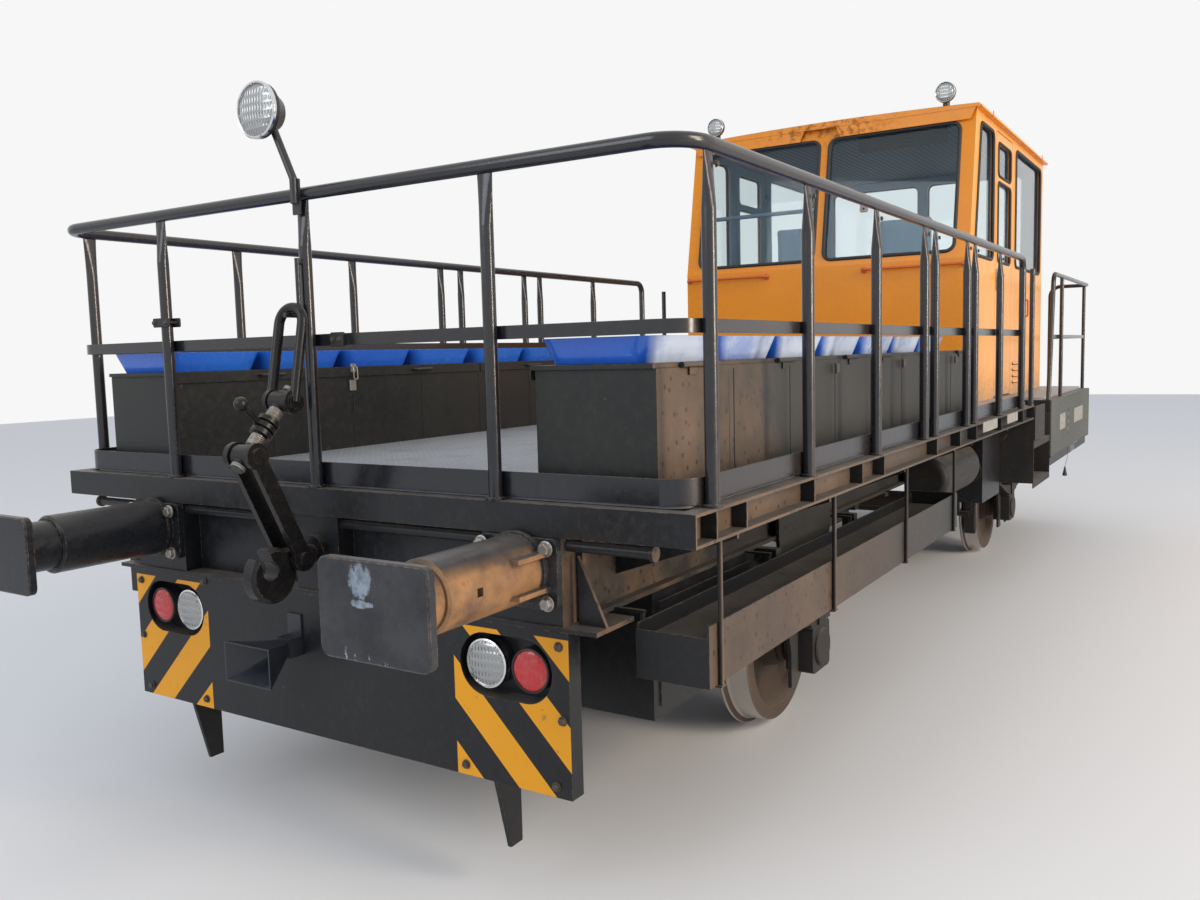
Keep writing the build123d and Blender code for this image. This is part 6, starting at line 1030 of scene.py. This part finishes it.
def bench_details():
    """Panel seams on both faces, a toggle latch at each lid's aisle edge, and catches on the outer face."""
    seams = [BENCH_FRONT + (BENCH_REAR - BENCH_FRONT) * share for share in SEAM_SHARES] + [LID_SPLIT]
    for name, side in SIDES:
        bm = bmesh.new()
        for x in seams:
            for y, outward in ((side * BENCH_INNER, -side), (side * BENCH_OUTER, side)):
                small_plate(bm, "bench_seam", (x, y - outward * SUNK, SEAM_Z), (0, outward, 0))
        close(bm, "bench_seams_" + name, "rubber")
        edge, inward = side * (BENCH_INNER - LID_LIP), (0, -side, 0)
        for where, start, stop in (("front", BENCH_FRONT, LID_SPLIT), ("rear", LID_SPLIT, BENCH_REAR)):
            middle = (start + stop) / 2
            lid = name + "_" + where
            plate, keeper = (middle, edge, BENCH_TOP - 0.008), (middle, side * BENCH_INNER, BENCH_TOP - 0.085)
            plates("latch_plate_" + lid, "latch_plate", [plate], inward, "zinc", "lid_" + lid)
            arm = [(edge - side * out, BENCH_TOP + rise) for out, rise in LOOP_ARM]
            loop = [(middle - LOOP_HALF, *spot) for spot in arm]
            loop += [(middle + LOOP_HALF, *spot) for spot in reversed(arm)]
            tube("latch_loop_" + lid, [bent(loop, 0.008)], LOOP_RADIUS, "zinc", "lid_" + lid)
            plates("latch_keeper_" + lid, "latch_keeper", [keeper], inward, "zinc")
        catches = [(at(station), side * (BENCH_OUTER - SUNK), CATCH_Z) for station in CATCH_STATIONS]
        plates("outer_catches_" + name, "outer_catch", catches, (0, side, 0), "dark_bolt")


# Seats: pitch, first seat's middle, gap between two, depth of the dish, and places and form of its screws
SEAT_PITCH = 0.468
SEAT_FIRST = 0.226
SEAT_GAP = 0.016
DISH_DEPTH = 0.036
SCREW_SPOTS = [(across, along) for across in (-0.09, 0.09) for along in (-0.07, 0.07)]
SEAT_SCREW = ((0.011, -0.001), (0.011, 0.002), (0.006, 0.004))


def seat_bolts():
    """Four fixing screws in each moulded seat's dish."""
    for lid in [name + "_" + where for name, _ in SIDES for where in ("front", "rear")]:
        first, last = low("seats_" + lid), high("seats_" + lid)
        x, y, z = first.x + SEAT_FIRST, (first.y + last.y) / 2, last.z - DISH_DEPTH
        count = round((last.x - first.x + SEAT_GAP) / SEAT_PITCH)
        places = [(x + SEAT_PITCH * seat + across, y + along, z) for seat in range(count)
                  for across, along in SCREW_SPOTS]
        turned("seat_screws_" + lid, SEAT_SCREW, places, (0, 0, 1), "zinc", "lid_" + lid, segments=FEW)


# Bare plates on the sill and the side panel: from one station to another, foot and head from the deck's top
SILL_PLATES = ((3.526, 3.917, -0.057, 0.0), (4.22, 4.558, -0.057, 0.0))
PANEL_PLATES = ((6.323, 6.612, -0.256, -0.131), (7.131, 7.675, -0.253, -0.13))


def blank_plates():
    """Bare pale plates on both sills and side panels."""
    for name, side in SIDES:
        bm = bmesh.new()
        for table, y in ((SILL_PLATES, DECK_SIDE), (PANEL_PLATES, high("side_panels").y)):
            for start, stop, foot, head in table:
                half_x, half_z = (stop - start) / 2, (head - foot) / 2
                place = (at((start + stop) / 2), side * (y - SUNK), DECK_TOP + (foot + head) / 2 - 0.004)
                outline = rounded(corners(-half_x, half_x, -half_z, half_z), 0.006, 3)
                plate_into(bm, basis(place, (0, side, 0)), outline, 0.0022, 0.0006)
        close(bm, "blank_plates_" + name, "plate")


ROD_X = at(6.78)
ROD_TOP = DECK_TOP - 0.109
ROD_FOOT = DECK_TOP - 0.328
ROD_BANDS = 7
ROD_RADIUS = 0.006
STEM_RADIUS = 0.0016
WEIGHT_TOP = DECK_TOP - 0.6
WEIGHT = ((0.004, 0.0), (0.006, -0.006), (0.019, -0.07), (0.017, -0.076))


def dip_rod():
    """Banded rod on the right side panel with a cone weight on a stiff stem under it."""
    face = low("side_panels").y
    step = (ROD_TOP - ROD_FOOT) / ROD_BANDS
    for first, shade, material in ((0, "dark", "rubber"), (1, "pale", "plate")):
        places = [(ROD_X, face + 0.003, ROD_FOOT + band * step) for band in range(first, ROD_BANDS, 2)]
        ring = ((ROD_RADIUS, 0.0), (ROD_RADIUS, step))
        turned("dip_rod_%s_bands" % shade, ring, places, (0, 0, 1), material, segments=FEW)
    on_face, hang = face + 0.0012, face + 0.018
    stem = [(ROD_X, on_face, ROD_FOOT), (ROD_X, on_face, DECK_TOP - 0.525), (ROD_X, hang, WEIGHT_TOP)]
    tube("dip_rod_stem", [bent(stem, 0.02)], STEM_RADIUS, "dark_bolt")
    turned("dip_rod_weight", WEIGHT, [stem[-1]], (0, 0, 1), "dark_bolt", segments=SOME)


def louvre_lips():
    """Slanted lip over each louvre slot, behind the doors."""
    x = DOOR_END + 0.088 + LOUVRE_LENGTH / 2
    for name, side in SIDES:
        places = [(x, side * (CAB_SIDE + 0.0045), DECK_TOP + 0.123 + LOUVRE_PITCH * place)
                  for place in range(LOUVRE_COUNT)]
        plates("louvre_lips_" + name, "louvre_lip", places, (0, side, 0.55), "cab_lip")


# Coupling screw: its ends out from the beam and over the deck's top, its thread and the bare stretches
SCREW_LOW = (0.262, 0.135)
SCREW_HIGH = (0.104, 0.3)
THREAD_PITCH = 0.007
THREAD_CORE = 0.0215
THREAD_TURN = ((0.025, 0.4), (0.025, 0.6), (0.0222, 1.0))
THREAD_STRETCHES = ((-0.053, -0.037), (0.037, 0.081), (0.148, 0.191), (0.266, 0.281))


def coupling_threads():
    """Thread turns on the bare stretches of each coupling's screw."""
    for end, edge, outward in ENDS:
        start, stop = (Vector((edge + outward * out, 0.0, DECK_TOP + up))
                       for out, up in (SCREW_LOW, SCREW_HIGH))
        lean = stop - start
        bm = bmesh.new()
        for first, last in THREAD_STRETCHES:
            profile = [(THREAD_CORE, 0.0)]
            for step in range(int((last - first) / THREAD_PITCH)):
                profile += [(radius, THREAD_PITCH * (step + share)) for radius, share in THREAD_TURN]
            spin_into(bm, basis(start + lean.normalized() * first, lean), profile, SMOOTH)
        close(bm, "coupling_threads_" + end, "zinc", "coupling_" + end)


# Cab inside: rail height, visor's place across, and across the desk the dials, levers and hood
SCREEN_RAIL_Z = DECK_TOP + 1.47
SCREEN_RAIL_RADIUS = 0.016
VISOR_Y = -0.55
VISOR_TOP = SCREEN_TOP - 0.005
DESK_SLOPE = (0.041, 0.0, 0.264)
DIALS_Y = (-0.72, -0.6, -0.48, -0.36)
DIAL_RIM = ((0.046, -0.002), (0.046, 0.01), (0.04, 0.013))
DIAL_FACE = ((0.039, 0.01), (0.039, 0.0135))
LEVERS_Y = (-0.22, -0.14, 0.45)
LEVER_LEAN = (0.03, 0.0, 0.155)
KNOB = ((0.006, 0.0), (0.018, 0.01), (0.02, 0.022), (0.014, 0.036), (0.004, 0.04))
HOOD_Y = -0.64


def cab_inside():
    """Rail and visor behind the screens, and dials, levers and a hood on the desk."""
    x = face_x(SCREEN_RAIL_Z) + WALL + 0.05
    rail = [(x, 0.02, SCREEN_RAIL_Z), (x, CAB_SIDE - WALL, SCREEN_RAIL_Z)]
    tube("screen_rail", [rail], SCREEN_RAIL_RADIUS, "cab_inside")
    place = (face_x(VISOR_TOP) + WALL + 0.03, VISOR_Y, VISOR_TOP - 0.05)
    plates("sun_visor", "sun_visor", [place], (-1, 0, -0.2), "visor")
    x, top = low("driver_desk").x, high("driver_desk").z
    dials = [(x + 0.12, y, top - 0.017) for y in DIALS_Y]
    for part, profile, material in (("rims", DIAL_RIM, "chrome"), ("faces", DIAL_FACE, "plate")):
        turned("desk_dial_" + part, profile, dials, DESK_SLOPE, material, segments=SMOOTH)
    levers = [[(x + 0.2, y, top - 0.035), (x + 0.23, y, top + 0.12)] for y in LEVERS_Y]
    tube("desk_levers", levers, 0.007, "zinc")
    turned("desk_knobs", KNOB, [path[1] for path in levers], LEVER_LEAN, "rubber",
           segments=SOME)
    hood = (x + 0.14, HOOD_Y, top - 0.02)
    plates("desk_hood", "desk_hood", [hood], (0, 0, 1), "cab_inside")


# Cushions: how they are blown up, and the sewn channels across them
VOXEL = 0.014
PRESSURE = 4.0
FRAMES = 20
MOST_SWELL = 0.016
SLACK = 0.008
CORNER = 0.022
CHANNEL_SPACING = 0.22
CHANNEL_DEPTH = 0.01
CHANNEL_WIDTH = 0.012
INSIDE_BOX = 0.0003


def boxes_of(node):
    """Box of each separate solid of a node."""
    bm = bmesh.new()
    bm.from_mesh(NODES[node].data)
    bmesh.ops.remove_doubles(bm, verts=bm.verts, dist=1e-5)
    bm.verts.ensure_lookup_table()
    left, found = set(range(len(bm.verts))), []
    while left:
        reached = [left.pop()]
        island = list(reached)
        while reached:
            for edge in bm.verts[reached.pop()].link_edges:
                for vertex in edge.verts:
                    if vertex.index in left:
                        left.remove(vertex.index)
                        reached.append(vertex.index)
                        island.append(vertex.index)
        spots = [bm.verts[index].co for index in island]
        found.append([Vector([pick(spot[axis] for spot in spots) for axis in range(3)])
                      for pick in (min, max)])
    bm.free()
    return sorted(found, key=lambda pair: (round(pair[0].x, 2), round(pair[0].y, 2), pair[0].z))


def evaluated(piece):
    graph = bpy.context.evaluated_depsgraph_get()
    return bpy.data.meshes.new_from_object(piece.evaluated_get(graph))


def swell(piece):
    """Blow the cushion's cloth up by a capped amount and keep the result as its mesh."""
    scene = bpy.context.scene
    before = [vertex.co.copy() for vertex in piece.data.vertices]
    cloth = piece.modifiers.new("cloth", "CLOTH")
    cloth.settings.use_pressure = True
    cloth.settings.uniform_pressure_force = PRESSURE
    cloth.settings.effector_weights.gravity = 0.0
    for moment in range(1, FRAMES + 1):
        scene.frame_set(moment)
    mesh = evaluated(piece)
    piece.modifiers.remove(cloth)
    for vertex, start in zip(mesh.vertices, before):
        move = vertex.co - start
        if move.length > MOST_SWELL:
            vertex.co = start + move * (MOST_SWELL / move.length)
    piece.data = mesh
    scene.frame_set(1)


def cushion(name, first, last):
    """One upholstered cushion in the box of its solid, with sewn channels across its wide face."""
    size = last - first
    thin = min(range(3), key=lambda axis: size[axis])
    inner = size - Vector((2 * SLACK, 2 * SLACK, 2 * SLACK))
    block = Matrix.Translation((first + last) / 2) @ Matrix.Diagonal((*inner, 1.0))
    bm = bmesh.new()
    bmesh.ops.create_cube(bm, size=1.0)
    bmesh.ops.transform(bm, matrix=block, verts=bm.verts)
    bmesh.ops.bevel(bm, geom=bm.edges, offset=CORNER, segments=3, affect="EDGES", profile=0.5)
    piece = close(bm, name, "seat_grey")
    remesh = piece.modifiers.new("remesh", "REMESH")
    remesh.mode = "VOXEL"
    remesh.voxel_size = VOXEL
    mesh = evaluated(piece)
    piece.modifiers.remove(remesh)
    piece.data = mesh
    swell(piece)
    count = max(2, round(size.y / CHANNEL_SPACING))
    seams = [first.y + size.y * step / count for step in range(1, count)]
    outer, face = (1.0, last[thin]) if thin == 2 else (-1.0, first[thin])
    for vertex in piece.data.vertices:
        depth = sum(CHANNEL_DEPTH * math.exp(-((vertex.co.y - seam) / CHANNEL_WIDTH) ** 2) for seam in seams)
        near = max(0.0, 1.0 - abs(vertex.co[thin] - face) / (size[thin] * 0.6))
        vertex.co[thin] -= outer * depth * near
        for axis in range(3):
            vertex.co[axis] = min(max(vertex.co[axis], first[axis] + INSIDE_BOX), last[axis] - INSIDE_BOX)
    piece.data.polygons.foreach_set("use_smooth", [True] * len(piece.data.polygons))
    if not piece.data.materials:
        piece.data.materials.append(MATERIALS["seat_grey"])
    soft = piece.modifiers.new("soft", "SUBSURF")
    soft.levels = soft.render_levels = 1
    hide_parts("cab_cushions")


def cab_cushions():
    for index, (first, last) in enumerate(boxes_of("cab_cushions")):
        cushion("cab_cushion_%d" % (index + 1), first, last)


# Plain pale studio: half the floor's side, its colour, and the world's light and what is seen of it
FLOOR_HALF = 30.0
FLOOR = (0.78, 0.775, 0.77)
SKY = (0.86, 0.91, 1.0)
SKY_STRENGTH = 0.74
PALE = (0.93, 0.93, 0.93)


def build_studio():
    mesh = bpy.data.meshes.new("floor")
    outline = corners(-FLOOR_HALF, FLOOR_HALF, -FLOOR_HALF, FLOOR_HALF)
    mesh.from_pydata([(x, y, 0.0) for x, y in outline], [], [(0, 1, 2, 3)])
    mesh.materials.append(Shader("floor_pale").finish(FLOOR, 0.9))
    floor = linked("floor", mesh)
    world = bpy.data.worlds.new("studio")
    bpy.context.scene.world = world
    world.use_nodes = True
    nodes, link = world.node_tree.nodes, world.node_tree.links.new
    lit, seen = nodes["Background"], nodes.new("ShaderNodeBackground")
    for background, colour, strength in ((lit, SKY, SKY_STRENGTH), (seen, PALE, 1.0)):
        background.inputs["Color"].default_value = (*colour, 1.0)
        background.inputs["Strength"].default_value = strength
    path = nodes.new("ShaderNodeLightPath").outputs
    share = path["Is Camera Ray"]
    for ray in ("Is Glossy Ray", "Is Transmission Ray"):
        either = nodes.new("ShaderNodeMath")
        either.operation = "MAXIMUM"
        link(share, either.inputs[0])
        link(path[ray], either.inputs[1])
        share = either.outputs[0]
    mixer = nodes.new("ShaderNodeMixShader")
    for index, socket in enumerate((share, lit.outputs[0], seen.outputs[0])):
        link(socket, mixer.inputs[index])
    link(mixer.outputs[0], nodes["World Output"].inputs["Surface"])


# Lamps: name, place, aim, size, power and colour
LAMPS = (
    ("key", (-3.0, -13.0, 7.5), (0.0, 0.0, 1.0), 5.0, 950.0, (1.0, 0.87, 0.72)),
    ("low", (-1.5, -20.0, 3.2), (0.5, 0.0, 1.6), 3.6, 1250.0, (1.0, 0.84, 0.66)),
    ("fill", (-13.0, 3.0, 7.0), (0.0, 0.0, 1.0), 7.0, 420.0, (0.86, 0.92, 1.0)),
)


def build_lamps():
    for name, place, aim, size, power, colour in LAMPS:
        data = bpy.data.lights.new(name, "AREA")
        data.size = size
        data.energy = power
        data.color = colour
        lamp = linked(name, data)
        lamp.location = place
        lamp.rotation_mode = "QUATERNION"
        lamp.rotation_quaternion = (Vector(aim) - Vector(place)).to_track_quat("-Z", "Y")


build_camera()
MATERIALS = build_materials()
dress_nodes()
window_seals()
cab_front_fittings()
gutter_clamps()
door_fittings()
lamp_faces()
skirt_bolts()
buffer_nuts()
post_bolts()
rail_clamps()
bench_details()
seat_bolts()
blank_plates()
dip_rod()
louvre_lips()
coupling_threads()
cab_inside()
cab_cushions()
build_studio()
build_lamps()
bpy.context.scene.view_settings.view_transform = "Standard"
